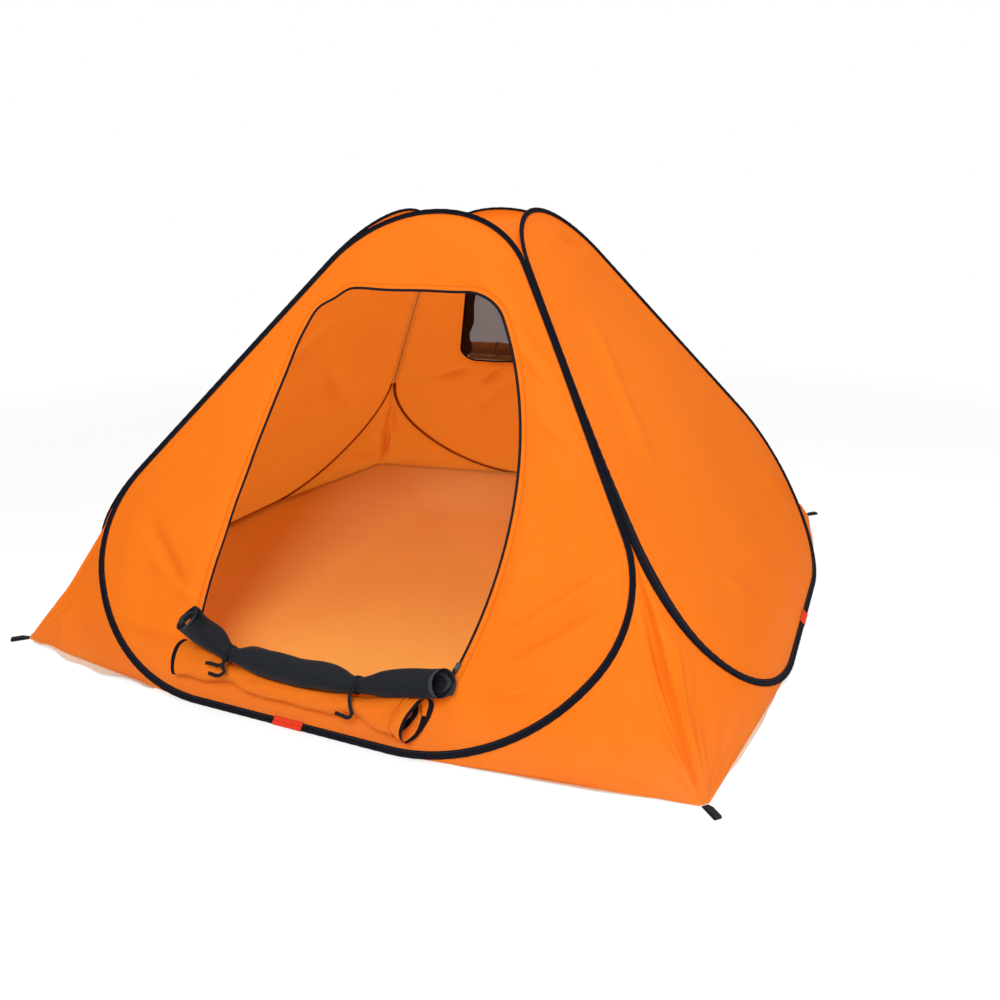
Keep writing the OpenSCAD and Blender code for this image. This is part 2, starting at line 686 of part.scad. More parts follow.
// A webbing loop lies on the ground outwards from each corner, open from side to side
module peg_loop(side) {
    outer_r = loop_h / 2;
    inner_r = loop_gap / 2;
    end_c = [loop_l - outer_r, outer_r];
    outer = concat([[0, 0]], arc(end_c, outer_r, -90, 90), [[2 * loop_sewn, loop_h], [0, 2 * loop_t]]);
    inner = concat([[loop_sewn, loop_t]], arc(end_c, inner_r, -90, 90),
        [[2 * loop_sewn, loop_t + loop_gap], [loop_sewn, 2 * loop_t]]);
    color(black) at_corner(side) translate([corner_r + seat_gap, loop_w / 2, 0]) rotate([90, 0, 0])
        linear_extrude(loop_w) difference() {
            polygon(outer);
            polygon(inner);
        }
}
module front_right_peg_loop() { peg_loop(front); }
module back_right_peg_loop() { peg_loop(right); }
module back_left_peg_loop() { peg_loop(back); }
module front_left_peg_loop() { peg_loop(left); }

front_hoop_wire();
right_hoop_wire();
back_hoop_wire();
left_hoop_wire();
wire_ferrules();
front_sleeve();
right_sleeve();
back_sleeve();
left_sleeve();
hoop_tags();
front_wall();
right_wall();
back_wall();
left_wall();
roof();
seam_tapes();
front_right_gusset();
back_right_gusset();
back_left_gusset();
front_left_gusset();
floor_sheet();
floor_hems();
door_binding();
zip_coil();
zip_slider();
zip_pull();
mesh_door_roll();
outer_door_roll();
left_roll_tie();
right_roll_tie();
window_binding();
window_mesh();
window_cover_roll();
window_ties();
front_right_peg_loop();
back_right_peg_loop();
back_left_peg_loop();
front_left_peg_loop();
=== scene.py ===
import math

import bmesh
import bpy
import numpy as np
from mathutils import Matrix


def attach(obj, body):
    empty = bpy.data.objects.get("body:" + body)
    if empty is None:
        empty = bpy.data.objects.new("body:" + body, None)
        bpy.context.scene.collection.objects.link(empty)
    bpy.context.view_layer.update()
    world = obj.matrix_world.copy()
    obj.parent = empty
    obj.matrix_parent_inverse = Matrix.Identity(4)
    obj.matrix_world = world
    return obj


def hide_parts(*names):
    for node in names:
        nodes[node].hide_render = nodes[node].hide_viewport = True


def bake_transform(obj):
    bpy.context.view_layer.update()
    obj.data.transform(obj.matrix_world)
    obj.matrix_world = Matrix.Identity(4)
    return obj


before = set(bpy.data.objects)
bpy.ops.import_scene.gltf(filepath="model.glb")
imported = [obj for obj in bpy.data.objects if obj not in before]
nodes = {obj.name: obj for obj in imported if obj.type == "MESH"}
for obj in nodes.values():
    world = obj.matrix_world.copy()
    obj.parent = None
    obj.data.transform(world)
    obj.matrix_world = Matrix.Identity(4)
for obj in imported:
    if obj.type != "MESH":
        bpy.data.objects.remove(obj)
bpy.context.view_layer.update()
scene = bpy.context.scene
print("frame loaded:", len(nodes), "nodes")

sides = ["front", "right", "back", "left"]
corners = ["front_right", "back_right", "back_left", "front_left"]  # each follows the side of the same place
tent = {
    "lean": math.radians(36.5), "height": 1.2,
    "baseHalf": 1.1,         # from the middle to a wall's line on the ground
    "cornerHalf": 1.0,       # from the middle to a floor corner, along x and along y
    "seatGap": .0003,        # between pieces that lie on each other
    "middle": (0, 0, .45)}   # walls face away from here
hoop = {"heelR": .525, "heelTurn": math.radians(60), "hipR": .33, "tubeR": .0045}
farBelow = (0, 0, -9)        # the floor faces away from here
overhead = (0, 0, 5)         # and the seam tapes from here
tiny = 1e-6                  # points closer than this are one

# The hoop's own numbers, worked out as the CAD source does: x across its wall, s up the slope
sinLean, cosLean = math.sin(tent["lean"]), math.cos(tent["lean"])
sideLean = math.atan(sinLean)
sideHeading = math.pi / 2 + sideLean
seamHalf = math.pi / 2 - math.acos(sinLean ** 2) / 2
seamLean = math.atan(math.sqrt(2) * math.tan(tent["lean"]))
seamOff = (2 * hoop["tubeR"] + tent["seatGap"]) / (2 * math.sin(seamHalf))
hoopHalf = tent["baseHalf"] - seamOff / math.cos(sideLean)
hoopLow = hoop["tubeR"] / cosLean
hoopTop = (tent["height"] - hoop["tubeR"]) / cosLean
crownR = (hoopHalf - sinLean * hoopTop) / (1 / math.cos(sideLean) - sinLean)
crownC = np.array([0, hoopTop - crownR])
heelToHip = hoop["heelR"] - hoop["hipR"]
hipS = hoopLow + hoop["heelR"] - heelToHip * math.cos(hoop["heelTurn"])
hipC = np.array([hoopHalf - sinLean * hipS - hoop["hipR"] / math.cos(sideLean), hipS])
heelC = np.array([hipC[0] - heelToHip * math.sin(hoop["heelTurn"]), hoopLow + hoop["heelR"]])
floorEdge = tent["baseHalf"] - hoopLow * sinLean - hoop["tubeR"] - tent["seatGap"]


# Small tools for shapes

def ease(t):
    # smooth step from 0 to 1
    t = np.clip(t, 0, 1)
    return t * t * (3 - 2 * t)


def fadeEnds(t, rate):
    # 1 in the middle of a run from 0 to 1, easing to 0 at both ends
    return ease(t * rate) * ease((1 - t) * rate)


def bell(t):
    # 1 at 0, falling smoothly to nothing on both sides
    return np.exp(-t ** 2)


def unit(v):
    # vectors made one long
    return v / np.linalg.norm(v, axis=-1, keepdims=True)


def ripple(x, y, size, seed, waves=7, spread=(.6, 1.6)):
    # smooth noise of about unit height: sine waves of seeded direction, length and phase, added up
    rng = np.random.default_rng(seed)
    turn = rng.uniform(0, 2 * np.pi, waves)
    length = size * rng.uniform(*spread, waves)
    phase = rng.uniform(0, 2 * np.pi, waves)
    total = 0
    for k in range(waves):
        total = total + np.sin(2 * np.pi * (x * np.cos(turn[k]) + y * np.sin(turn[k])) / length[k] + phase[k])
    return total / math.sqrt(waves)


def rippled(x, y, spec):
    # a ripple given by its height, size and seed
    high, size, seed = spec
    return high * ripple(x, y, size, seed)


def crease(x, s, start, end, width, height, fadeRate=3):
    # one soft ridge along a line: a bell across it, fading at both ends
    run = np.subtract(end, start)
    long = math.hypot(*run)
    t = ((x - start[0]) * run[0] + (s - start[1]) * run[1]) / long ** 2
    off = ((x - start[0]) * -run[1] + (s - start[1]) * run[0]) / long
    return height * bell(off / width) * fadeEnds(t, fadeRate)


def polar(r, a):
    # points by distance and angle
    return np.stack([r * np.cos(a), r * np.sin(a)], -1)


def arcPoints(centre, radius, start, end, count):
    # count points on an arc, by angle
    return np.asarray(centre) + polar(radius, np.linspace(start, end, count))


def between(a, b, count):
    # count points on the straight line from a to b, without its ends
    t = np.linspace(0, 1, count + 2)[1:-1, None]
    return a * (1 - t) + b * t


def lengthAlong(points):
    # distance run along a row of points, starting at 0
    steps = np.linalg.norm(np.diff(points, axis=0), axis=1)
    return np.concatenate([[0], np.cumsum(steps)])


def turned(x, y, quarters):
    # quarter turns about the tent's middle
    for _ in range(quarters):
        x, y = -y, x
    return x, y


def toTent(side, x, s, n):
    # wall frame to tent frame: x across, s up the slope, n outwards, then a quarter turn for each side
    x, s, n = np.broadcast_arrays(x, s, n)
    x, y = turned(x, s * sinLean - n * cosLean - tent["baseHalf"], side)
    return np.stack([x, y, s * cosLean + n * sinLean], -1)


def atCorner(side, p):
    # corner frame, x outwards along the corner's own line, to tent frame
    a = math.radians(90 * side - 45)
    return np.stack([p[..., 0] * math.cos(a) - p[..., 1] * math.sin(a),
                     p[..., 0] * math.sin(a) + p[..., 1] * math.cos(a), p[..., 2]], -1)


def sweep(path, across, lift, profile):
    # a profile (a, b) carried along a path: each point is path + a times across + b times lift
    return path[:, None] + profile[None, :, :1] * across[:, None] + profile[None, :, 1:] * lift[:, None]


def tapeProfile(width, thick, count=5):
    # a flat tape's section with rounded edges, once round
    half = np.linspace(-np.pi / 2, np.pi / 2, count)
    right = [width / 2 - thick / 2, 0] + polar(thick / 2, half)
    return np.concatenate([right, -right])


def squareGrid(count):
    # a square grid bent into a disc: how far out each point is, 0 to 1, and its angle
    a, b = np.meshgrid(np.linspace(-1, 1, count), np.linspace(-1, 1, count))
    wide = np.abs(a) >= np.abs(b)
    top = np.where(wide, b, a)
    low = np.where(wide, a, b)
    part = np.pi / 4 * top / np.where(low == 0, 1, low)
    angle = np.where(wide, part, np.pi / 2 - part) + np.where(low < 0, np.pi, 0)
    return np.maximum(np.abs(a), np.abs(b)), angle


def reach(line, centre, angle):
    # distance from centre to a closed line in each direction
    out = line - centre
    turn = np.arctan2(out[:, 1], out[:, 0])
    return np.interp(angle, turn, np.linalg.norm(out, axis=1), period=2 * np.pi)


def discInside(line, middle, cells, crowd=1):
    # how far out, crowded towards the edge, times the reach of a closed line in that direction
    far, angle = squareGrid(cells)
    out = (1 - (1 - far) ** crowd) * reach(line, middle, angle)
    return middle[0] + out * np.cos(angle), middle[1] + out * np.sin(angle), far


def nearest(x, s, line):
    # distance of each point of a wall to a dense line
    flat = np.stack([x.ravel(), s.ravel()], 1)
    gaps = np.linalg.norm(flat[:, None] - line[None], axis=2).min(1)
    return gaps.reshape(x.shape)


def flatArea(line):
    # area inside a closed line, by the sum of its cross products
    x, y = line[:, 0], line[:, 1]
    return abs((x * np.roll(y, -1) - np.roll(x, -1) * y).sum()) / 2


def gridArea(points):
    # each cell's area is half the cross product of its diagonals
    d = np.cross(points[1:, 1:] - points[:-1, :-1], points[1:, :-1] - points[:-1, 1:])
    return float(np.linalg.norm(d, axis=-1).sum() / 2)


# Grids for makePiece: rows by columns of points, their uv in metres, and which ways close on themselves

def stripUv(points):
    # metres along the rows and across the columns of a strip, measured on its first column and row
    return np.meshgrid(lengthAlong(points[:, 0]), lengthAlong(points[0]), indexing="ij")


def tubeUv(along, points):
    # metres along a tube and round its section, with the closing column given its own value
    ring = np.concatenate([points[0], points[0][:1]])
    return np.stack(np.meshgrid(along, lengthAlong(ring), indexing="ij"), -1)


def sheetGrid(points, u, v, away=tent["middle"], **values):
    # an open sheet that faces away from a point, with values by name for its material
    return {"points": points, "uv": np.stack(np.broadcast_arrays(u, v), -1), "away": away, "values": values}


def closedTube(points, along=None):
    # a tube that runs back into its own start
    if along is None:
        along = lengthAlong(np.concatenate([points[:, 0], points[:1, 0]]))
    return {"points": points, "uv": tubeUv(along, points), "closed": (True, True)}


def cappedTube(points, along):
    # a tube with both ends closed by a ring drawn in to its middle
    ends = [np.broadcast_to(points[k].mean(0), points[k].shape)[None] for k in (0, -1)]
    uv = tubeUv(np.concatenate([along[:1], along, along[-1:]]), points)
    return {"points": np.concatenate([ends[0], points, ends[1]]), "uv": uv, "closed": (False, True)}


def makePiece(name, grids, material, body, replaced=(), merge=False):
    # quads join each grid's neighbours, a closed way joins its end to its start, and faces point outwards
    verts, faces, uvs, values, first = [], [], [], {}, 0
    for grid in grids:
        points = np.asarray(grid["points"], float)
        m, n = points.shape[:2]
        closedRows, closedCols = grid.get("closed", (False, False))
        i, j = np.meshgrid(np.arange(m - 1 + closedRows), np.arange(n - 1 + closedCols), indexing="ij")
        ring = [(i, j), (i, j + 1), (i + 1, j + 1), (i + 1, j)]
        quad = np.stack([(a % m) * n + b % n for a, b in ring], -1).reshape(-1, 4)
        uv = np.asarray(grid["uv"], float)
        lastU, lastV = uv.shape[0] - 1, uv.shape[1] - 1
        corner = np.stack([uv[np.minimum(a, lastU), np.minimum(b, lastV)] for a, b in ring], -2)
        corner = corner.reshape(-1, 4, 2)
        flat = points.reshape(-1, 3)
        p = flat[quad]
        facing = np.cross(p[:, 2] - p[:, 0], p[:, 3] - p[:, 1])
        if ((p.mean(1) - np.asarray(grid.get("away", flat.mean(0)))) * facing).sum() < 0:
            quad, corner = quad[:, ::-1], corner[:, ::-1]
        verts.append(flat)
        faces.append(quad + first)
        uvs.append(corner.reshape(-1, 2))
        for key, value in grid.get("values", {}).items():
            values.setdefault(key, []).append(np.broadcast_to(value, (m, n)).ravel())
        first += m * n
    mesh = bpy.data.meshes.new(name)
    mesh.from_pydata(np.concatenate(verts).tolist(), [], np.concatenate(faces).tolist())
    layer = mesh.uv_layers.new(name="UVMap")
    layer.data.foreach_set("uv", np.concatenate(uvs).astype(np.float32).ravel())
    for key, parts in values.items():
        made = mesh.attributes.new(key, "FLOAT", "POINT")
        made.data.foreach_set("value", np.concatenate(parts).astype(np.float32))
    if merge:
        work = bmesh.new()
        work.from_mesh(mesh)
        bmesh.ops.remove_doubles(work, verts=work.verts, dist=tiny)
        work.to_mesh(mesh)
        work.free()
    mesh.polygons.foreach_set("use_smooth", np.ones(len(mesh.polygons), bool))
    mesh.materials.append(material)
    mesh.update()
    piece = bpy.data.objects.new(name, mesh)
    scene.collection.objects.link(piece)
    if body:
        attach(piece, body)
    if replaced:
        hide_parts(*replaced)
    return piece


def coat(name, material):
    # gives a CAD node its material
    nodes[name].data.materials.clear()
    nodes[name].data.materials.append(material)


# Node tools

def feed(tree, value, socket):
    # links another node's socket, or sets a number, a vector or a colour
    if isinstance(value, bpy.types.NodeSocket):
        tree.links.new(value, socket)
    elif socket.type == "RGBA":
        socket.default_value = (*value, 1)
    else:
        socket.default_value = value


def addNode(tree, kind, *inputs, **values):
    # inputs go in by their order and named values by name, and a name that is no input sets a property
    made = tree.nodes.new(kind)
    for key, value in values.items():
        if key in made.inputs:
            feed(tree, value, made.inputs[key])
        else:
            setattr(made, key, value)
    for k, value in enumerate(inputs):
        feed(tree, value, made.inputs[k])
    return made


def emptyTree(owner, kind):
    # clears a material's or world's nodes, and gives its tree and the surface input of a new output
    owner.use_nodes = True
    owner.node_tree.nodes.clear()
    return owner.node_tree, addNode(owner.node_tree, kind).inputs["Surface"]


def mathNode(tree, operation, *inputs, clamp=False):
    # one operation on numbers or sockets
    return addNode(tree, "ShaderNodeMath", *inputs, operation=operation, use_clamp=clamp).outputs[0]


def mixColor(tree, share, a, b, blend="MIX"):
    # colour a turning to b by a share; the node keeps its colours in its inputs 6 and 7
    made = addNode(tree, "ShaderNodeMix", data_type="RGBA", blend_type=blend)
    for k, value in ((0, share), (6, a), (7, b)):
        feed(tree, value, made.inputs[k])
    return made.outputs[2]


def mixShaders(tree, share, a, b):
    # shader a turning to b by a share
    return addNode(tree, "ShaderNodeMixShader", share, a.outputs[0], b.outputs[0])


def noiseOf(tree, spot, scale, detail, rough, bent=0.):
    # soft noise, from about 0 to 1
    made = addNode(tree, "ShaderNodeTexNoise", Vector=spot, Scale=scale, Detail=detail, Roughness=rough,
                   Distortion=bent)
    return made.outputs["Fac"]


def splitUp(tree, vector):
    # a vector's three numbers
    return addNode(tree, "ShaderNodeSeparateXYZ", vector).outputs


def attributeOf(tree, name):
    # a value that makePiece stored with the points
    return addNode(tree, "ShaderNodeAttribute", attribute_name=name).outputs["Fac"]


def unevenly(tree, noise, middle, spread):
    # a value that wanders about its middle with a noise
    return mathNode(tree, "MULTIPLY_ADD", noise, spread, middle - spread / 2)


# Node groups: effects that several materials use

floatSocket, vectorSocket = "NodeSocketFloat", "NodeSocketVector"
crumpled = {"swellDetail": 2., "swellRough": .5, "finer": 2.7, "fineDetail": 3., "fineRough": .55,
            "fineBent": .6, "creaseSharp": 14., "creaseHigh": .12}
stitched = {"dashPart": .68}
dusted = {"scale": 9., "detail": 4., "rough": .6}


def newGroup(name, inputs, output):
    # inputs are names with socket types, and the output is a number
    group = bpy.data.node_groups.new(name, "ShaderNodeTree")
    for key, kind in inputs.items():
        group.interface.new_socket(key, in_out="INPUT", socket_type=kind)
    group.interface.new_socket(output, in_out="OUTPUT", socket_type=floatSocket)
    return group, group.nodes.new("NodeGroupInput").outputs, group.nodes.new("NodeGroupOutput").inputs[output]


def useGroup(tree, group, **values):
    # the group's output for these inputs
    return addNode(tree, "ShaderNodeGroup", node_tree=group, **values).outputs[0]


def makeWeave():
    # two crossed sine waves multiplied, so threads pass over and under each other
    group, take, give = newGroup("clothWeave", {"Vector": vectorSocket, "Threads": floatSocket}, "Height")
    parts = splitUp(group, take["Vector"])
    waves = []
    for k in (0, 1):
        count = mathNode(group, "MULTIPLY", parts[k], take["Threads"])
        waves.append(mathNode(group, "SINE", mathNode(group, "MULTIPLY", count, 2 * math.pi)))
    feed(group, mathNode(group, "MULTIPLY_ADD", mathNode(group, "MULTIPLY", *waves), .5, .5), give)
    return group


def makeCrumple():
    # broad soft swells plus thin creases, where a finer noise passes through its middle value
    group, take, give = newGroup("clothCrumple", {"Vector": vectorSocket, "Density": floatSocket}, "Height")
    swell = noiseOf(group, take["Vector"], take["Density"], crumpled["swellDetail"], crumpled["swellRough"])
    finer = mathNode(group, "MULTIPLY", take["Density"], crumpled["finer"])
    fine = noiseOf(group, take["Vector"], finer, crumpled["fineDetail"], crumpled["fineRough"],
                   crumpled["fineBent"])
    off = mathNode(group, "ABSOLUTE", mathNode(group, "SUBTRACT", fine, .5))
    far = mathNode(group, "MULTIPLY", off, crumpled["creaseSharp"])
    line = mathNode(group, "SUBTRACT", 1., far, clamp=True)
    low = mathNode(group, "MULTIPLY", line, crumpled["creaseHigh"])
    feed(group, mathNode(group, "ADD", swell, low), give)
    return group


def makeStitchAndShade():
    # dashes of thread along a line, or an unbroken line of painted shade when the along input stays 0: on
    # while the share of a pitch is under the dash's part and near enough across
    inputs = dict.fromkeys(["Along", "Across", "Pitch", "Width"], floatSocket)
    group, take, give = newGroup("stitchAndShadeRow", inputs, "Mask")
    share = mathNode(group, "FRACT", mathNode(group, "DIVIDE", take["Along"], take["Pitch"]))
    dash = mathNode(group, "LESS_THAN", share, stitched["dashPart"])
    far = mathNode(group, "DIVIDE", mathNode(group, "ABSOLUTE", take["Across"]), take["Width"])
    near = mathNode(group, "SUBTRACT", 1., far, clamp=True)
    feed(group, mathNode(group, "MULTIPLY", dash, near), give)
    return group


def makeDust():
    # a patchy mask that fades from the ground up to the given height
    group, take, give = newGroup("groundDust", {"Vector": vectorSocket, "Height": floatSocket}, "Mask")
    patch = noiseOf(group, take["Vector"], dusted["scale"], dusted["detail"], dusted["rough"])
    high = mathNode(group, "DIVIDE", splitUp(group, take["Vector"])[2], take["Height"])
    fade = mathNode(group, "SUBTRACT", 1., high, clamp=True)
    feed(group, mathNode(group, "MULTIPLY", fade, patch, clamp=True), give)
    return group


weaveGroup, crumpleGroup, stitchAndShadeGroup, dustGroup = makeWeave(), makeCrumple(), makeStitchAndShade(), makeDust()


# Materials: what a look leaves out comes from plainCloth or plainMetal

plainCloth = {
    "driftScale": 2.2, "driftDetail": 3., "driftRough": .55, "roughSpread": .2,
    "threadShade": .1, "shadeColor": (.45, .4, .4), "threadBump": .25, "threadDepth": .0004,
    "foldDepth": .006, "dust": .0, "dustHeight": .12, "dustColor": (.5, .42, .34), "sheen": .1,
    "sheenRough": .5, "stitchesAndShadeLines": []}
plainMetal = {"detail": 6., "scuffRough": .65, "roughSpread": .3, "bump": .2, "bumpDepth": .0003,
              "specular": .5}


def clothMaterial(name, look):
    # woven cloth: colour with slow drift and thread shade, dust near the ground, thread and crumple bumps
    look = {**plainCloth, **look}
    material = bpy.data.materials.new(name)
    tree, give = emptyTree(material, "ShaderNodeOutputMaterial")
    place = addNode(tree, "ShaderNodeTexCoord").outputs
    weave = useGroup(tree, weaveGroup, Vector=place["UV"], Threads=look["threads"])
    drift = noiseOf(tree, place["Object"], look["driftScale"], look["driftDetail"], look["driftRough"])
    color = mixColor(tree, drift, look["color"], look["second"])
    shade = mathNode(tree, "MULTIPLY", weave, look["threadShade"])
    color = mixColor(tree, shade, color, look["shadeColor"], "MULTIPLY")
    # painted light: a paler colour towards the floor's sides and far end, where the walls shade it
    if "paintedEdgeLight" in look:
        color = paintedEdgeLight(tree, color, place["UV"], look["paintedEdgeLight"])
    # stitches, and the unbroken lines that paint shade
    for row in look["stitchesAndShadeLines"]:
        color = stitchAndShadeLine(tree, color, place["UV"], row)
    dust = useGroup(tree, dustGroup, Vector=place["Object"], Height=look["dustHeight"])
    color = mixColor(tree, mathNode(tree, "MULTIPLY", dust, look["dust"]), color, look["dustColor"])
    tall = useGroup(tree, crumpleGroup, Vector=place["Object"], Density=look["crumple"])
    if "streaks" in look:
        tall = mathNode(tree, "ADD", tall, streakHeight(tree, place["Object"], look["streaks"]))
    folds = addNode(tree, "ShaderNodeBump", Height=tall, Strength=look["foldBump"],
                    Distance=look["foldDepth"])
    threads = addNode(tree, "ShaderNodeBump", Height=weave, Strength=look["threadBump"],
                      Distance=look["threadDepth"], Normal=folds.outputs["Normal"])
    normal = threads.outputs["Normal"]
    finish = {"Roughness": unevenly(tree, drift, look["rough"], look["roughSpread"]), "Normal": normal,
              "Sheen Weight": look["sheen"], "Sheen Roughness": look["sheenRough"],
              "Specular IOR Level": look["specular"]}
    if "holes" in look:
        doubled = mathNode(tree, "LESS_THAN", attributeOf(tree, look["holes"]["gap"]), look["holes"]["band"])
        color = mixColor(tree, doubled, color, look["holes"]["bandColor"])
        finish["Alpha"] = mathNode(tree, "MAXIMUM", netThreads(tree, place["UV"], look["holes"]), doubled)
    finish["Base Color"] = color
    shader = addNode(tree, "ShaderNodeBsdfPrincipled", **finish)
    if "through" in look:
        behind = addNode(tree, "ShaderNodeBsdfTranslucent", Color=look["throughColor"], Normal=normal)
        shader = mixShaders(tree, look["through"], shader, behind)
    feed(tree, shader.outputs[0], give)
    return material


def paintedEdgeLight(tree, color, uv, look):
    # a paler colour painted towards a sheet's sides and far end, painted light that lifts the shade the walls
    # cast there, by the larger of the distances across and along it
    parts = splitUp(tree, uv)
    far = mathNode(tree, "MAXIMUM", mathNode(tree, "ABSOLUTE", parts[0]), parts[1])
    near = addNode(tree, "ShaderNodeMapRange", far, look["from"], look["to"], interpolation_type="SMOOTHSTEP")
    return mixColor(tree, near.outputs[0], color, look["color"])


def stitchAndShadeLine(tree, color, uv, row):
    # mixes a row's colour in at a distance, across the uv or by an attribute: thread in dashes, and a row
    # with no pitch is an unbroken line, which paints shade by the walls' wire and, with the seam's line,
    # along the floor's rim
    parts = splitUp(tree, uv)
    along, across = parts[0], parts[1]
    if "gap" in row:
        along, across = mathNode(tree, "ADD", along, across), attributeOf(tree, row["gap"])
    if "pitch" not in row:
        along = 0.
    across = mathNode(tree, "SUBTRACT", across, row["at"])
    mask = useGroup(tree, stitchAndShadeGroup, Along=along, Across=across, Pitch=row.get("pitch", 1.),
                    Width=row["width"])
    return mixColor(tree, mathNode(tree, "MULTIPLY", mask, row["share"]), color, row["color"])


def streakHeight(tree, spot, streaks):
    # long thin wrinkles: a noise squeezed more one way than the other
    squeezed = addNode(tree, "ShaderNodeMapping", Vector=spot, Scale=streaks["squeeze"])
    return noiseOf(tree, squeezed.outputs[0], streaks["scale"], streaks["detail"], streaks["rough"])


def netThreads(tree, uv, holes):
    # netting: a thread stands where either share of a pitch is low, and the rest is half open
    parts = splitUp(tree, uv)
    solid = holes["least"]
    for k in (0, 1):
        share = mathNode(tree, "FRACT", mathNode(tree, "DIVIDE", parts[k], holes["pitch"]))
        solid = mathNode(tree, "MAXIMUM", mathNode(tree, "LESS_THAN", share, holes["thread"]), solid)
    return solid


def metalMaterial(name, look):
    # worn metal and plastic: drift in colour, roughness that follows scuffs, a fine bump
    look = {**plainMetal, **look}
    material = bpy.data.materials.new(name)
    tree, give = emptyTree(material, "ShaderNodeOutputMaterial")
    place = addNode(tree, "ShaderNodeTexCoord").outputs
    scuff = noiseOf(tree, place["Object"], look["scale"], look["detail"], look["scuffRough"])
    bump = addNode(tree, "ShaderNodeBump", Height=scuff, Strength=look["bump"], Distance=look["bumpDepth"])
    finish = {"Base Color": mixColor(tree, scuff, look["color"], look["second"]),
              "Roughness": unevenly(tree, scuff, look["rough"], look["roughSpread"]),
              "Metallic": look["metal"], "Specular IOR Level": look["specular"],
              "Normal": bump.outputs["Normal"]}
    feed(tree, addNode(tree, "ShaderNodeBsdfPrincipled", **finish).outputs[0], give)
    return material


orangeLook = {
    "color": (.85, .225, .013), "second": (.80, .200, .012), "threads": 900., "threadShade": .12, "rough": .7,
    "sheen": .0, "specular": .06, "through": .40, "throughColor": (.90, .26, .024), "foldBump": .22,
    "crumple": 3.5, "dust": .12}
doorStitch = {"gap": "doorGap", "at": .013, "pitch": .006, "width": .003, "share": 1.,
              "color": (.48, .08, .006)}
hemStitch = {"gap": "hemGap", "at": .026, "pitch": .006, "width": .0018, "share": .6,
             "color": (.58, .11, .008)}
# painted shade: a near-black line along the walls' edge by the wire, for the shadow of the wire and its black
# sleeve seen through the cloth from inside
sleeveShadeLine = {"gap": "hemGap", "at": .003, "width": .0075, "share": .97, "color": (.055, .035, .006)}
# the floor's rim band: the seam's line where the floor meets the walls, and painted shade in that corner
rimLine = {"gap": "rimGap", "at": .0, "width": .03, "share": .7, "color": (.30, .15, .03)}
floorStitch = {"at": .45, "pitch": .006, "width": .0032, "share": .7, "color": (.30, .10, .02)}
seamStitch = {"at": .013, "pitch": .014, "width": .0045, "share": 1., "color": (.03, .017, .006)}
tapeStitch = {"pitch": .005, "width": .0007, "share": .8, "color": (.05, .05, .06)}
bindingStitch = {"at": .0055, "pitch": .004, "width": .0006, "share": .8, "color": (.04, .04, .05)}
orangeCloth = clothMaterial("orangeCloth", orangeLook)
# the walls carry the hem's stitches and a painted shade line by the wire
orangeWall = clothMaterial("orangeWall", {**orangeLook, "stitchesAndShadeLines": [hemStitch, sleeveShadeLine]})
orangeFront = clothMaterial("orangeFront", {**orangeLook, "stitchesAndShadeLines": [hemStitch, doorStitch, sleeveShadeLine]})
floorCloth = clothMaterial("floorCloth", {
    "color": (.75, .345, .066), "second": (.65, .285, .048), "threads": 420., "threadShade": .2, "rough": .55,
    "specular": .2, "foldBump": .32, "crumple": 5.,
    "streaks": {"squeeze": (2.4, 8., 1.), "scale": 4., "detail": 4., "rough": .6},
    # paler towards the sides and far end: painted light where the walls shade the floor
    "paintedEdgeLight": {"from": .35, "to": 1.05, "color": (.74, .50, .16)}, "stitchesAndShadeLines": [floorStitch, rimLine]})
paleHem = clothMaterial("paleHem", {
    "color": (.66, .53, .42), "second": (.54, .40, .30), "threads": 420., "rough": .6, "specular": .15,
    "foldBump": .4, "crumple": 16., "dust": .1})
innerTape = clothMaterial("innerTape", {
    "color": (.97, .74, .27), "second": (.93, .68, .23), "threads": 500., "rough": .7, "specular": .06,
    "foldBump": .3, "crumple": 14., "stitchesAndShadeLines": [seamStitch]})
narrowTape = {"threads": 500., "rough": .8, "sheen": .0, "specular": .05, "foldBump": .15, "crumple": 22.}
blackTape = clothMaterial("blackTape", {
    **narrowTape, "color": (.004, .004, .007), "second": (.007, .007, .011), "threads": 600., "specular": .03,
    "foldBump": .2, "crumple": 18., "dust": .01, "stitchesAndShadeLines": [{**tapeStitch, "at": v} for v in (.004, .042)]})
blackBinding = clothMaterial("blackBinding", {
    **narrowTape, "color": (.004, .004, .007), "second": (.008, .008, .012), "threads": 700., "specular": .03,
    "stitchesAndShadeLines": [bindingStitch]})
tieTape = clothMaterial("tieTape", {
    **narrowTape, "color": (.008, .0085, .009), "second": (.014, .0145, .015)})
edgeTape = clothMaterial("edgeTape", {
    **narrowTape, "color": (.022, .024, .028), "second": (.034, .037, .042), "rough": .7, "specular": .1})
redTape = clothMaterial("redTape", {
    **narrowTape, "color": (.66, .040, .014), "second": (.56, .032, .012), "rough": .7, "specular": .06,
    "foldBump": .2, "crumple": 20.})
blackMesh = clothMaterial("blackMesh", {
    "color": (.0035, .0045, .007), "second": (.009, .011, .015), "threads": 380., "threadShade": .4,
    "rough": .7, "sheen": .03, "specular": .10, "foldBump": .35, "foldDepth": .004, "crumple": 20.,
    "dust": .04})
greyNet = clothMaterial("greyNet", {
    "color": (.050, .050, .048), "second": (.10, .10, .095), "threads": 380., "rough": .8, "specular": .1,
    "foldBump": .4, "crumple": 9.,
    "holes": {"pitch": .0022, "thread": .46, "least": .55, "gap": "sideGap", "band": .034,
              "bandColor": (.004, .005, .006)}})
blackWebbing = clothMaterial("blackWebbing", {
    "color": (.006, .006, .008), "second": (.012, .012, .014), "threads": 330., "threadShade": .4,
    "rough": .75, "specular": .08, "sheen": .0, "threadBump": .7, "foldBump": .1, "crumple": 20.,
    "dust": .02})
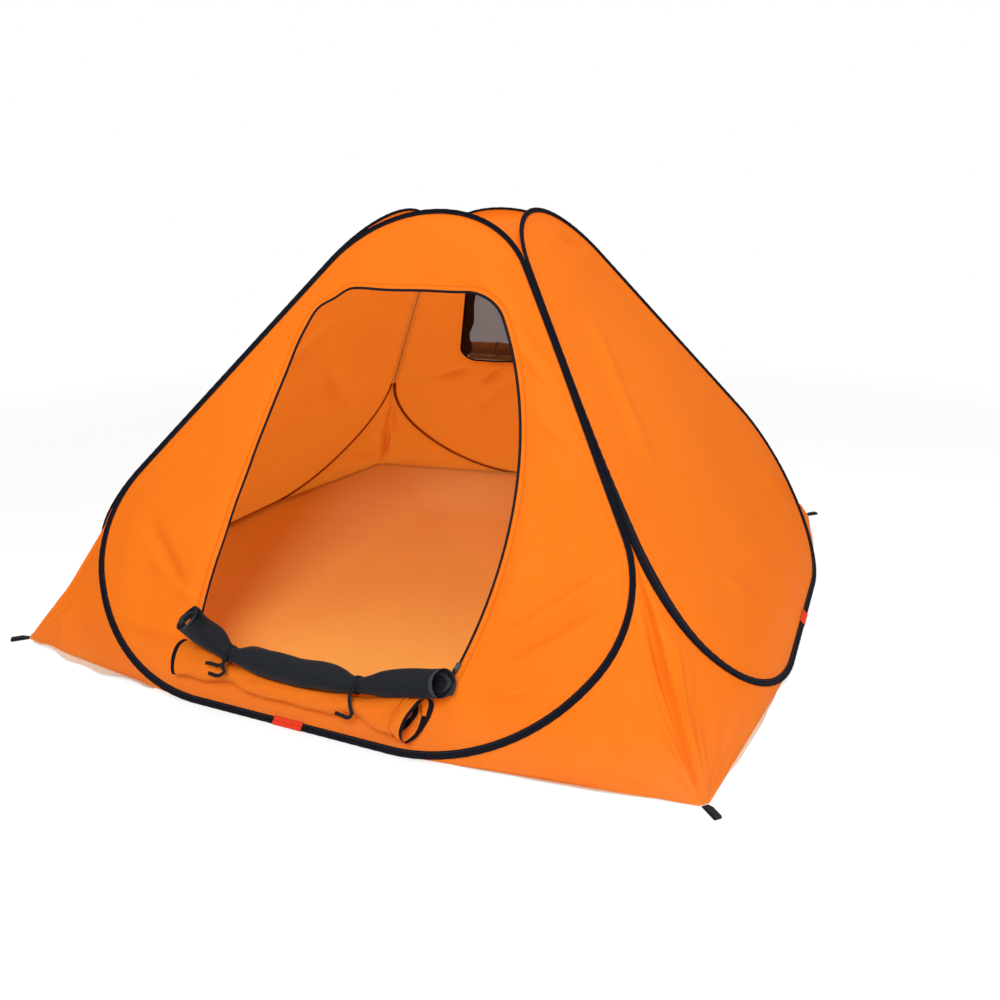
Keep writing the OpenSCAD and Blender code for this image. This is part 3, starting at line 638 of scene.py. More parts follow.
zipPlastic = metalMaterial("zipPlastic", {
    "color": (.004, .004, .005), "second": (.009, .009, .011), "scale": 160., "rough": .6, "metal": 0.,
    "specular": .15})
zipMetal = metalMaterial("zipMetal", {
    "color": (.03, .03, .033), "second": (.07, .07, .075), "scale": 220., "rough": .4, "metal": .6})
springSteel = metalMaterial("springSteel", {
    "color": (.5, .5, .52), "second": (.38, .38, .4), "scale": 90., "rough": .38, "metal": 1.})
print("materials made:", len(bpy.data.materials))


# Hoops: the centre line of one hoop in its wall's frame, from the foot up the right side and round

def hoopLine(count, arcCells=60):
    # arcs by heading: a point lies its radius to the right of the heading, and straight runs join the arcs
    rows = [[[0, hoopLow, 0, -1]]]
    for centre, radius, start, end in ((heelC, hoop["heelR"], 0, hoop["heelTurn"]),
                                       (hipC, hoop["hipR"], hoop["heelTurn"], sideHeading),
                                       (crownC, crownR, sideHeading, np.pi)):
        out = polar(1, np.linspace(start, end, arcCells) - np.pi / 2)
        rows.append(np.concatenate([centre + radius * out, out], 1))
    half = np.concatenate(rows)
    both = np.concatenate([half, half[-2::-1] * [-1, 1, -1, 1]])
    run = lengthAlong(both[:, :2])
    at = np.linspace(0, run[-1], count + 1)[:-1]
    picked = np.stack([np.interp(at, run, column) for column in both.T], 1)
    return picked[:, :2], picked[:, 2:], at, run[-1]


# Each spot widens or slims the hem by a share, about a height on the slope, on one half of each side's hoop
sleeve = {
    "steps": 460, "hemCells": 5, "tubeCells": 15, "wrap": math.radians(164), "hemW": .014, "hemT": .0024,
    "hemFrom": 1.15,                                                    # in tube radii from the wire's middle
    "slimLow": .3025, "slimHigh": .55, "slimFrom": .2, "slimOver": .3,  # slimmer from some way up the slope
    "pucker": .0007, "puckerEvery": .031, "puckerDrift": 2, "driftTurns": 7, "swell": .06, "heldLeast": .8,
    "dropAhead": 1,                                                   # in radians before the tube's swell
    "spots": [{"by": 2.3, "at": .5, "over": .2, "half": (0, -1, 0, 1)},
              {"by": -.27, "at": 1.05, "over": .24, "half": (1, -1, 0, 0)}]}


def sleevePiece(side):
    # a tape folded round the wire: along the hem's upper layer, round the tube, back along the lower layer
    line, out, at, total = hoopLine(sleeve["steps"])
    x, s = line[:, :1], line[:, 1:]
    r, cells = hoop["tubeR"], sleeve["hemCells"]
    high = ease((s - sleeve["slimFrom"]) / sleeve["slimOver"])
    wide = 1 - sleeve["slimLow"] - (sleeve["slimHigh"] - sleeve["slimLow"]) * high
    for spot in sleeve["spots"]:
        wide = wide + spot["by"] * bell((s - spot["at"]) / spot["over"]) * (x * spot["half"][side] > 0)
    share = np.linspace(1, 0, cells)[None, :]
    hemOff = r * sleeve["hemFrom"] + share * (sleeve["hemW"] * wide - r * (sleeve["hemFrom"] - 1))
    turn = np.linspace(sleeve["wrap"], -sleeve["wrap"], sleeve["tubeCells"])
    tubeOff = np.broadcast_to(r * np.cos(turn), (len(line), len(turn)))
    off = np.concatenate([-hemOff, tubeOff, -hemOff[:, ::-1]], 1)
    layer = np.full(cells, sleeve["hemT"] / 2)
    n = np.concatenate([layer, r * np.sin(turn), -layer])
    onTube = np.concatenate([np.zeros(cells), np.ones(len(turn)), np.zeros(cells)])
    once = 2 * np.pi * at[:, None] / total
    phase = round(total / sleeve["puckerEvery"]) * once
    phase = phase + sleeve["puckerDrift"] * np.sin(sleeve["driftTurns"] * once)
    grow = 1 + sleeve["swell"] * np.sin(phase) * onTube
    held = sleeve["hemW"] * np.maximum(wide, sleeve["heldLeast"]) ** 2
    drop = sleeve["pucker"] * np.sin(phase + sleeve["dropAhead"]) * np.clip(-off - r, 0, None) / held
    points = toTent(side, x + out[:, :1] * off * grow, s + out[:, 1:] * off * grow, n * grow + drop)
    name = sides[side] + "_sleeve"
    grid = closedTube(points, np.append(at, total))
    makePiece(name + "_tape", [grid], blackTape, "tent", [name])


for k in range(4):
    sleevePiece(k)

tag = {"length": .084, "thick": .0009, "steps": 24, "lift": math.radians(2), "flatFrom": 1.2, "flatTo": .4,
       "flatCells": 4, "roundCells": 12, "wave": .0008, "waves": 60}


def tagGrid(side):
    # a ribbon over the sleeve's foot: flat on the hem, then round the tube nearly down to the ground
    half, cells = tag["thick"] / 2, tag["flatCells"]
    inner = hoop["tubeR"] + tent["seatGap"] + half
    flatN = sleeve["hemT"] / 2 + tent["seatGap"] + half
    low = tent["lean"] + math.asin(hoop["tubeR"] / (inner + half)) - tag["lift"]
    around = polar(1, np.linspace(math.asin(flatN / inner), math.pi / 2 + low, tag["roundCells"]))
    up = sleeve["hemW"] * np.linspace(tag["flatFrom"], tag["flatTo"], cells)
    mid = np.concatenate([np.stack([up, np.full(cells, flatN)], 1), inner * around])
    normal = np.concatenate([np.broadcast_to([0, 1], (cells, 2)), around])
    ring = np.concatenate([mid + normal * half, (mid - normal * half)[::-1]])
    x = np.linspace(-tag["length"] / 2, tag["length"] / 2, tag["steps"])
    wave = tag["wave"] * np.abs(np.sin(x * tag["waves"]))
    return cappedTube(toTent(side, x[:, None], hoopLow + ring[:, 0], ring[:, 1] + wave[:, None]), x - x[0])


tagGrids = [tagGrid(k) for k in range(4)]
makePiece("hoop_tag_tapes", tagGrids, redTape, "tent", ["hoop_tags"], merge=True)
for name in [side + "_hoop_wire" for side in sides] + ["wire_ferrules"]:
    coat(name, springSteel)
print("hoops dressed")


# Door and window outlines in the wall's frame, anticlockwise, grown outwards by grow

door = {"left": .36, "right": .445, "sill": .205, "top": 1.22, "leftR": 4.0, "leftBelly": .5, "rightR": 1.19,
        "rightBelly": .55, "leftCornerR": .11, "rightCornerR": .15, "middle": np.array([.04, .7]),
        "rightCells": 120, "leftCells": 110, "cornerCells": 26, "topCells": 40, "sillCells": 90}
window = {"lowHalf": .365, "topHalf": .2, "low": .76, "top": 1.19, "cornerR": .045,
          "middle": np.array([0, .95]), "cornerCells": 16, "sideCells": 50, "topCells": 50, "lowCells": 90}
binding = {"wide": .008, "thick": .003, "cells": 14, "shoulder": .6, "wave": .00154, "waveEvery": .17,
           "sway": .0032, "swayEvery": .3, "stillFrom": .22, "stillOver": .08}
sill = {"sag": .057, "middle": .02, "half": .36, "flat": 6, "from": .03, "over": .02}  # flat is a power
dent = {"deep": .017, "at": (-.262, 1.200), "r": .045, "way": (-.6, .8)}               # slack top left corner

leftArm, rightArm = door["leftR"] - door["leftCornerR"], door["rightR"] - door["rightCornerR"]
doorLeftC = np.array([door["leftR"] - door["left"], door["leftBelly"]])
doorRightC = np.array([door["right"] - door["rightR"], door["rightBelly"]])
leftTurn = math.asin((door["top"] - door["leftCornerR"] - door["leftBelly"]) / leftArm)
rightTurn = math.asin((door["top"] - door["rightCornerR"] - door["rightBelly"]) / rightArm)
leftCornerC = doorLeftC + polar(leftArm, math.pi - leftTurn)
rightCornerC = doorRightC + polar(rightArm, rightTurn)


def doorLine(grow):
    # right side arc, round corner, top, round corner, nearly straight left side, sill
    low, leftR, rightR = door["sill"] - grow, door["leftR"] + grow, door["rightR"] + grow
    rightLow = math.asin((low - door["rightBelly"]) / rightR)
    leftLow = math.pi + math.asin((door["leftBelly"] - low) / leftR)
    cells = door["cornerCells"]
    right = arcPoints(doorRightC, rightR, rightLow, rightTurn, door["rightCells"])
    headRight = arcPoints(rightCornerC, door["rightCornerR"] + grow, rightTurn, math.pi / 2, cells)[1:]
    headLeft = arcPoints(leftCornerC, door["leftCornerR"] + grow, math.pi / 2, math.pi - leftTurn, cells)
    left = arcPoints(doorLeftC, leftR, math.pi - leftTurn, leftLow, door["leftCells"])[1:]
    top = between(headRight[-1], headLeft[0], door["topCells"])
    low = between(left[-1], right[0], door["sillCells"])
    return np.concatenate([right, headRight, top, headLeft, left, low])


def windowLine(grow):
    # a trapezoid with round corners, its right half then that half mirrored
    slope = math.atan((window["lowHalf"] - window["topHalf"]) / (window["top"] - window["low"]))
    r, cells = window["cornerR"], window["cornerCells"]
    lowC = [window["lowHalf"] - r * math.tan(math.pi / 4 + slope / 2), window["low"] + r]
    topC = [window["topHalf"] - r * math.tan(math.pi / 4 - slope / 2), window["top"] - r]
    lowArc = arcPoints(lowC, r + grow, -math.pi / 2, slope, cells)
    topArc = arcPoints(topC, r + grow, slope, math.pi / 2, cells)
    half = np.concatenate([lowArc, between(lowArc[-1], topArc[0], window["sideCells"]), topArc])
    other = half[::-1] * [-1, 1]
    return np.concatenate([half, between(half[-1], other[0], window["topCells"]), other,
                           between(other[-1], half[0], window["lowCells"])])


def calm(x):
    # 0 on the zip's side, where the slider runs, and 1 well away from it
    return ease((binding["stillFrom"] - x) / binding["stillOver"])


def edgeWave(x, s):
    # how far an edge of cloth wanders off its wall
    return binding["wave"] * calm(x) * ripple(x, s, binding["waveEvery"], seed=31)


def outwards(outline):
    # unit directions from an outline to the same outline grown
    return unit(outline(binding["wide"]) - outline(0))


def swayed(outline, grow):
    # a grown outline, moved along its outward directions by slow waves
    line = outline(grow)
    sway = binding["sway"] * calm(line[:, 0]) * ripple(line[:, 0], line[:, 1], binding["swayEvery"], seed=33)
    return line + sway[:, None] * outwards(outline)


def sagged(line):
    # the sill hangs lower in its middle, where the rolls pull at it, and the slack top left corner falls in
    x, s = line[..., 0], line[..., 1]
    near = ease((door["sill"] + sill["from"] - s) / sill["over"])
    drop = sill["sag"] * near * np.clip(1 - (np.abs(x - sill["middle"]) / sill["half"]) ** sill["flat"], 0, 1)
    fall = dent["deep"] * bell(np.hypot(x - dent["at"][0], s - dent["at"][1]) / dent["r"])
    return line - drop[..., None] * [0, 1] - fall[..., None] * dent["way"]


def fuller(t):
    # a sine or cosine with fuller shoulders
    return np.sign(t) * np.abs(t) ** binding["shoulder"]


def bindingPiece(name, side, outline, node):
    # a flat tape folded over the edge: an oval section between the outline and the outline grown by its width
    turn = np.linspace(0, 2 * np.pi, binding["cells"], endpoint=False)
    grow = binding["wide"] / 2 * (1 + fuller(np.cos(turn)))
    n = binding["thick"] / 2 * fuller(np.sin(turn))
    line = outline(0)
    rows = sagged(swayed(outline, 0))[:, None] + outwards(outline)[:, None] * grow[None, :, None]
    points = toTent(side, rows[..., 0], rows[..., 1], n + edgeWave(line[:, :1], line[:, 1:]))
    makePiece(name, [closedTube(points)], blackBinding, "tent", [node])


bindingPiece("door_edge_binding", 0, doorLine, "door_binding")
bindingPiece("window_edge_binding", 2, windowLine, "window_binding")
print("bindings made")


# Walls: sheets between the hoops, billowed a little, with soft creases

wall = {
    "cells": 101, "rings": 44, "crowd": 1.7, "lap": .001, "middle": np.array([0, .56]),
    "edgeOff": -.001, "edgeN": -.0054, "hemN": -.0019,          # under the wire, and flat on the hem
    "underFrom": .001, "underOver": .011, "freeFrom": .012, "freeOver": .09, "openingOver": .05,
    "billow": .012, "billowOver": .5, "soft": .004, "softEvery": .55, "fine": .0012, "fineEvery": .16,
    "creased": 2.3, "crisp": .8}
# Each crease has its start, its end, its width and its height
wallCreases = {
    "front": [((.80, .58), (.44, .25), .020, .008), ((.74, .46), (.46, .22), .014, -.005),
              ((.46, .18), (.74, .24), .012, .006), ((.46, .12), (.72, .18), .014, -.004),
              ((.33, 1.08), (.60, .86), .016, .007), ((.44, .88), (.68, .73), .016, .007),
              ((.32, 1.15), (.52, .95), .018, -.005), ((-.66, .48), (-.40, .25), .020, -.007),
              ((-.66, .16), (-.38, .16), .016, .006), ((-.60, .36), (-.36, .24), .015, .005),
              ((.14, 1.30), (.36, 1.10), .030, .004)],
    "right": [((.26, 1.22), (.66, .86), .022, -.008), ((.33, 1.09), (.56, .87), .014, .007),
              ((.38, .42), (.76, .17), .030, .007), ((-.26, .33), (.46, .10), .035, .006),
              ((.00, 1.39), (.22, 1.32), .020, -.005), ((-.45, .36), (-.20, .12), .025, .006),
              ((-.10, 1.20), (-.42, .62), .050, .006)],
    "back": [((-.45, .62), (-.10, .30), .050, .008), ((.10, .70), (.50, .35), .040, .007),
             ((-.30, 1.25), (.20, 1.33), .030, .004), ((.20, .72), (.34, .60), .018, .010),
             ((.34, .70), (.55, .62), .020, .008)],
    "left": [((-.5, .5), (-.1, .8), .050, .008), ((.1, .3), (.6, .5), .040, .006),
             ((.0, 1.1), (.3, .7), .040, .006)]}
hoopRow, hoopOut = hoopLine(600)[:2]
wallEdge = hoopRow + hoopOut * wall["edgeOff"]


def insideHoop(x, s):
    # distance of each point inside the wire's line, along the normal of the nearest point of that line
    flat = np.stack([x.ravel(), s.ravel()], 1)
    near = np.linalg.norm(flat[:, None] - hoopRow[None], axis=2).argmin(1)
    return -((flat - hoopRow[near]) * hoopOut[near]).sum(1).reshape(x.shape)


def wallHeight(side, x, s, inside):
    # under the wire at the edge, flat on the hem beside it, then a low crown, slow noise and its own creases
    under = 1 - ease((inside - wall["underFrom"]) / wall["underOver"])
    free = ease((inside - wall["freeFrom"]) / wall["freeOver"])
    n = wall["billow"] * (1 - (1 - np.clip(inside / wall["billowOver"], 0, 1)) ** 2)
    n = n + wall["soft"] * ripple(x, s, wall["softEvery"], seed=40 + side)
    n = n + wall["fine"] * ripple(x, s, wall["fineEvery"], seed=50 + side)
    for start, end, width, height in wallCreases[sides[side]]:
        n = n + wall["creased"] * crease(x, s, start, end, wall["crisp"] * width, height)
    return (wall["hemN"] + (wall["edgeN"] - wall["hemN"]) * under) * (1 - free) + n * free


def plainWall(side):
    # a disc of cloth inside the hoop, closer spaced at its edge
    x, s, _ = discInside(wallEdge, wall["middle"], wall["cells"], wall["crowd"])
    inside = insideHoop(x, s)
    return sheetGrid(toTent(side, x, s, wallHeight(side, x, s, inside)), x, s, hemGap=inside)


def openWall(side, outline, middle):
    # a ring of cloth from an opening out to the hoop, along rays from the opening's middle
    line = sagged(swayed(outline, wall["lap"]))
    ray = line - middle
    far = reach(wallEdge, middle, np.arctan2(ray[:, 1], ray[:, 0]))
    outer = middle + unit(ray) * far[:, None]
    t = 1 - (1 - np.linspace(0, 1, wall["rings"])[None, :]) ** wall["crowd"]
    x = line[:, :1] * (1 - t) + outer[:, :1] * t
    s = line[:, 1:] * (1 - t) + outer[:, 1:] * t
    gap = nearest(x, s, sagged(swayed(outline, binding["wide"])))
    away = ease(gap / wall["openingOver"])
    inside = insideHoop(x, s)
    n = wallHeight(side, x, s, inside) * away + edgeWave(x, s) * (1 - away)
    grid = sheetGrid(toTent(side, x, s, n), x, s, hemGap=inside, doorGap=gap)
    return {**grid, "uv": np.concatenate([grid["uv"], grid["uv"][:1]]), "closed": (True, False)}


openings = {"front": (doorLine, door["middle"]), "back": (windowLine, window["middle"])}
for k, name in enumerate(sides):
    area = flatArea(wallEdge)
    if name in openings:
        grid, cloth = openWall(k, *openings[name]), orangeFront
        area -= flatArea(openings[name][0](0))
    else:
        grid, cloth = plainWall(k), orangeWall
    piece = makePiece(name + "_wall_cloth", [grid], cloth, "tent", [name + "_wall"])


# Roof: between the four crowns

roof = {"cells": 49, "parting": math.radians(1.2), "dip": .03, "edgeOff": .0008, "edgeN": -.003,
        "leastWeight": 1e-4,
        "wrinkles": [(.005, .5, 71), (.003, .22, 72)]}     # height, size and seed


def crownEdge(side, t):
    # along a hoop's crown, from its left seam to its right one
    start = sideLean + roof["parting"]
    line = crownC + polar(crownR + roof["edgeOff"], np.pi - start - t * (np.pi - 2 * start))
    return toTent(side, line[..., 0], line[..., 1], roof["edgeN"])


def roofPiece():
    # a mean of a front-to-back and a side-to-side ruled sheet, weighted to meet all edges
    row = np.linspace(0, 1, roof["cells"])
    u, v = np.meshgrid(row, row, indexing="ij")
    uu, vv = u[..., None], v[..., None]
    weightU, weightV = [t * (1 - t) + roof["leastWeight"] for t in (uu, vv)]
    ahead = crownEdge(0, u) * (1 - vv) + crownEdge(2, 1 - u) * vv
    beside = crownEdge(3, 1 - v) * (1 - uu) + crownEdge(1, v) * uu
    points = (ahead * weightU + beside * weightV) / (weightU + weightV)
    free = 16 * u * (1 - u) * v * (1 - v)      # 1 in the middle
    points[..., 2] += free * (sum(rippled(u, v, spec) for spec in roof["wrinkles"]) - roof["dip"])
    grid = sheetGrid(points, points[..., 0], points[..., 1])
    piece = makePiece("roof_cloth", [grid], orangeCloth, "tent", ["roof"])


roofPiece()

# Seam tapes: a ribbon along the inside of each seam
seamTape = {"wide": .026, "below": .012, "above": .024, "steps": 60, "cells": 7, "clear": .0012,
            "pucker": .0012, "puckers": 60, "uneven": .06, "unevens": 90}


def seamGrid(side):
    # from the hips to the crowns along the seam's slope, bowed a little across its width
    depth = sleeve["hemT"] / 2 + tent["seatGap"] + math.cos(seamHalf) * seamTape["wide"] / 2
    depth = depth / math.sin(seamHalf) + seamTape["clear"]
    low = hipC[1] + hoop["hipR"] * math.sin(sideLean) - seamTape["below"]
    high = crownC[1] + crownR * math.sin(sideLean) + seamTape["above"]
    t = np.linspace(0, 1, seamTape["steps"])[:, None]
    up = t * (high - low) / math.cos(sideLean)
    b = np.linspace(-1, 1, seamTape["cells"])[None, :]
    inward = depth + seamTape["pucker"] * np.sin(t * seamTape["puckers"] + b) * (1 - b ** 2)
    foot = math.sqrt(2) * (tent["baseHalf"] - low * sinLean)
    x = foot - math.sin(seamLean) * up - math.cos(seamLean) * inward
    z = low * cosLean + math.cos(seamLean) * up - math.sin(seamLean) * inward
    y = b * seamTape["wide"] / 2 * (1 + seamTape["uneven"] * np.sin(t * seamTape["unevens"]))
    points = atCorner(side, np.stack(np.broadcast_arrays(x, y, z), -1))
    return sheetGrid(points, *stripUv(points), away=overhead)


makePiece("inner_seam_tapes", [seamGrid(k) for k in range(4)], innerTape, "tent", ["seam_tapes"])
print("roof and seams made")


# Gussets: slack cloth from two hoops' lower bends to the floor's corner

gusset = {
    "start": math.radians(6), "parting": math.radians(1.5), "edgeOff": .0022, "edgeN": -.0036, "cells": 90,
    "rows": 60, "tipW": .026, "tipZ": .0028, "tipIn": .0016, "lowest": .0022, "uvAcross": 1.3,
    "flat": (.9, .72), "seed": 80, "seedStep": 10, "hold": 9, "fold": .014, "foldTurns": 2,
    "foldHold": 5, "crest": .012, "crestOver": .05,
    "swells": [(.007, 1.4, .7, .42), (.003, 3, .7, .3)],    # height, stretch across and down, and size
    "ridge": .016, "ridgeAcross": 2.4, "ridgeDown": .4, "ridgeSize": .5, "ridgeWaves": 4,
    "sag": (.004, .034, .020, .034)}                        # one for each corner


def gussetPiece(side):
    # each point is a mean of its place on the hoops' edge and its place at the tip, moved out by folds
    heading = np.linspace(gusset["start"], sideHeading - gusset["parting"], gusset["cells"] + 1)
    heel = heading < hoop["heelTurn"]
    r = np.where(heel, hoop["heelR"], hoop["hipR"]) + gusset["edgeOff"]
    line = np.where(heel[:, None], heelC, hipC) + polar(r, heading - np.pi / 2)
    edge = toTent(0, line[:, 0], line[:, 1], gusset["edgeN"])
    edge = np.concatenate([edge, edge[-2::-1][:, [1, 0, 2]] * [-1, -1, 1]])
    q = np.linspace(0, 1, len(edge))[:, None]
    v = np.linspace(0, 1, gusset["rows"])[None, :]
    tipR = tent["cornerHalf"] * math.sqrt(2) - gusset["tipIn"]
    step = (q[:, 0] - .5) * gusset["tipW"]
    tip = np.stack([step + tipR, step - tipR, 0 * step], 1) / math.sqrt(2) + [0, 0, gusset["tipZ"]]
    down = np.sin(np.pi * v)
    loose = down * fadeEnds(q, gusset["hold"])
    seed = gusset["seed"] + side
    fold = gusset["fold"] * np.sin(2 * np.pi * gusset["foldTurns"] * q)
    fold = fold * down * fadeEnds(q, gusset["foldHold"])
    for k, (high, across, along, size) in enumerate(gusset["swells"]):
        fold = fold + loose * high * ripple(q * across, v * along, size, seed + gusset["seedStep"] * k)
    ridge = ripple(q * gusset["ridgeAcross"], v * gusset["ridgeDown"], gusset["ridgeSize"],
                   seed + 2 * gusset["seedStep"], gusset["ridgeWaves"])
    inwards = gusset["sag"][side] - gusset["ridge"] * (.5 - np.abs(ridge))
    fold = fold - loose * np.sin(np.pi * q) ** 2 * inwards
    fold = fold + gusset["crest"] * bell((q - .5) / gusset["crestOver"]) * down
    out = np.array([1, -1, 1]) / math.sqrt(3)
    points = edge[:, None] * (1 - v[..., None]) + tip[:, None] * v[..., None] + fold[..., None] * out
    x, y = turned(points[..., 0], points[..., 1], side)
    points = np.stack([x, y, np.maximum(points[..., 2], gusset["lowest"])], -1)
    along = np.linalg.norm(points - points[:, -1:], axis=-1)
    name = corners[side] + "_gusset"
    grid = sheetGrid(points, q * gusset["uvAcross"], along)
    piece = makePiece(name + "_cloth", [grid], orangeCloth, "tent", [name])
    area = gridArea(points)
    return area


gussetAreas = [gussetPiece(k) for k in range(4)]
print("gussets made, areas", [round(a, 3) for a in gussetAreas])


# Floor: a square sheet whose edges bow out to the hoops' feet, with low wrinkles and a turned-up rim

floorSheet = {
    "cells": 161, "crowd": 1.5, "height": .0022, "wrinkle": .0022, "wrinkleLow": .6, "rimStill": 12,
    "swell": (.35, .5, 91), "small": (.3, .22, 92), "rimFolds": (.8, .3, 93),   # height, size and seed
    "rimFrom": .7, "rimRate": 4, "lip": .007, "lipOver": .012,
    "flatFrom": .45, "flatOver": .2, "flatter": .45}                            # a lower lip near the corners
hem = {
    "steps": 90, "rows": 6, "heelTurn": math.radians(14), "clear": .03, "wide": .032, "narrow": .3,
    "spare": .004, "tight": .5, "lopsided": .8, "uneven": .12, "unevenEvery": .16, "under": .012,
    "low": .0012, "lift": .003, "high": .009, "waves": 24, "drift": 2, "drifts": 9, "hold": 8,
    "loose": [(0, 1), (3, 0)]}                              # side and mirror of the two wide ones


def bow(t):
    # how far out the floor's edge is, from a hoop's foot to the corner
    out = np.clip((np.abs(t) * tent["cornerHalf"] - heelC[0]) / (tent["cornerHalf"] - heelC[0]), 0, 1)
    return floorEdge + (tent["cornerHalf"] - floorEdge) * out


def hemGrid(side, mirror):
    # a frill beside the floor's edge, from near the hoop's foot to the corner, waved up and down
    runX, runY = tent["cornerHalf"] - heelC[0], floorEdge - tent["cornerHalf"]
    turn = math.atan2(runY, runX)
    start = hoop["heelR"] * math.sin(hem["heelTurn"]) + hem["clear"]
    end = math.hypot(runX, runY) - hem["clear"]
    a = np.linspace(start, end, hem["steps"])[:, None]
    b = np.linspace(0, 1, hem["rows"])[None, :]
    t = np.clip((a - start) / (end - start), 0, 1)
    loose = (side, mirror) in hem["loose"]
    full = hem["narrow"] + (1 - hem["narrow"]) * np.sin(np.pi * t ** hem["lopsided"])
    wide = hem["wide"] * full * (1 + hem["uneven"] * ripple(a, 0 * a, hem["unevenEvery"], 7 * side + mirror))
    wide = np.minimum(wide, hem["wide"] + hem["spare"]) * (1 if loose else hem["tight"])
    drift = hem["drift"] * np.sin(a * hem["drifts"] + side)
    wave = .5 + .5 * np.sin(a * hem["waves"] + drift + mirror)
    z = hem["low"] + b * (hem["high"] if loose else hem["lift"]) * wave * fadeEnds(t, hem["hold"])
    off = hem["under"] * (1 - b) - tent["seatGap"] - wide * b
    x = heelC[0] + a * math.cos(turn) - off * math.sin(turn)
    y = -floorEdge + a * math.sin(turn) + off * math.cos(turn)
    x, y = turned(-x if mirror else x, y, side)
    points = np.stack(np.broadcast_arrays(x, y, z), -1)
    return sheetGrid(points, *stripUv(points), away=farBelow)


def floorPiece():
    # x is u times the bow at v, and y is v times the bow at u
    t = np.linspace(-1, 1, floorSheet["cells"])
    t = np.sign(t) * (1 - (1 - np.abs(t)) ** floorSheet["crowd"])
    u, v = np.meshgrid(t, t, indexing="ij")
    x, y = u * bow(v), v * bow(u)
    rim = np.maximum(np.abs(u), np.abs(v))
    nearRim = ease((rim - floorSheet["rimFrom"]) * floorSheet["rimRate"])
    z = rippled(x, y, floorSheet["swell"]) + np.abs(rippled(x, y, floorSheet["small"]))
    z = z + np.abs(rippled(x, y, floorSheet["rimFolds"])) * nearRim + floorSheet["wrinkleLow"]
    z = floorSheet["wrinkle"] * np.maximum(z, 0) * ease((1 - rim) * floorSheet["rimStill"])
    toCorner = ease((np.minimum(np.abs(u), np.abs(v)) - floorSheet["flatFrom"]) / floorSheet["flatOver"])
    lip = floorSheet["lip"] * (1 - floorSheet["flatter"] * toCorner)
    z = floorSheet["height"] + z + lip * (1 - ease((1 - rim) / floorSheet["lipOver"]))
    points = np.stack([x, y, z], -1)
    grid = sheetGrid(points, x, y, away=farBelow, rimGap=1 - rim)
    piece = makePiece("floor_cloth", [grid], floorCloth, "tent", ["floor_sheet"])
    frills = makePiece("floor_hem_frills", [hemGrid(k, m) for k in range(4) for m in (0, 1)], paleHem, "tent",
                       ["floor_hems"])


floorPiece()
print("floor made")


# Zip: a coil along the door's right side, ridged by its teeth

zipper = {"coilR": .0015, "end": math.radians(.6), "pitch": .0024, "perTooth": 5, "cells": 8, "valley": .14,
          "slant": .6}


def zipPiece():
    # a tube on an arc about the right side's centre, its radius waved once for each tooth
    r = door["rightR"] + binding["wide"] / 2
    low = math.asin((door["sill"] - door["rightBelly"]) / door["rightR"]) + zipper["end"]
    high = rightTurn - zipper["end"]
    teeth = round(r * (high - low) / zipper["pitch"])
    turn = np.linspace(low, high, teeth * zipper["perTooth"] + 1)[:, None]
    ring = np.linspace(0, 2 * np.pi, zipper["cells"], endpoint=False)[None, :]
    tooth = np.linspace(0, teeth * 2 * np.pi, len(turn))[:, None] + zipper["slant"] * np.sin(ring)
    size = zipper["coilR"] * (1 - zipper["valley"] + zipper["valley"] * np.cos(tooth))
    out = r + size * np.cos(ring)
    n = binding["thick"] / 2 + tent["seatGap"] + zipper["coilR"] + size * np.sin(ring)
    points = toTent(0, doorRightC[0] + out * np.cos(turn), doorRightC[1] + out * np.sin(turn), n)
    grid = cappedTube(points, r * (turn[:, 0] - low))
    makePiece("zip_coil_teeth", [grid], zipPlastic, "tent", ["zip_coil"], merge=True)


zipPiece()
coat("zip_slider", zipMetal)
coat("zip_pull", zipPlastic)


# Rolls: each is one sheet wound up; pairs are for its left and its right end

wound = {
    "tipCells": 4, "full": .965, "tiedCalm": .5, "lap": .06, "lapOver": .5, "frayed": .003, "fraying": 1.3,
    "pleat": .03, "pleats": 11, "pleatDrift": 4, "pleatRun": 40, "recessFrom": 1.8, "lowest": .0035,
    "waves": (1, 2, 3, 4, 5, 7), "waveLong": (.09, .4), "wavePhase": (0, 6), "boundTurns": 1.15,
    "leanPower": 3}
roll = {"tieX": .187, "pinchOver": .042, "dip": .010, "clothHalf": .0008}
tie = {"wide": .010, "thick": .0012, "clear": .0009, "cells": 48, "snug": .3, "uneven": .15,
       "lumps": 3, "tailWide": .0095, "tailThick": .0011, "tailSteps": 30, "edgeCells": 4}
knot = {"down": .72, "out": .85, "clear": .003, "lift": .001, "r": .0044, "thick": .0026, "uneven": .2,
        "wide": 1.1, "high": .8, "rows": 20, "cells": 10, "uvLong": .03, "uvRound": .017}
meshRoll = {
    "half": .388, "r": .036, "s": .135, "lift": .066, "stand": .004, "out": .012, "pinch": .015,
    "swing": .034, "swingFrom": .25, "droop": .018, "turns": 5.7, "core": .6, "start": -2.2, "fold": .051,
    "seed": 3, "tied": 1, "long": 130, "round": 44, "bound": .009, "boundFrom": 3.6,
    "slant": (.048, .018), "tilt": (.014, 0), "reach": (-.012, .034), "recess": .012}
outerRoll = {
    "half": .36, "r": .034, "s": .0874, "depth": .024, "flare": .016, "flareUp": .8, "slope": .012,
    "pinch": .016, "rise": .012, "gape": .008, "gapePower": 4, "clear": .001, "lowest": .0032,
    "turns": 7.2, "core": .42, "start": 4.3, "fold": .078, "seed": 5, "tied": 1, "long": 120,
    "round": 36, "bound": .012, "boundFrom": 3.4, "slant": (-.011, .012), "tilt": (0, -.014),
    "reach": (-.014, .006), "recess": .034}
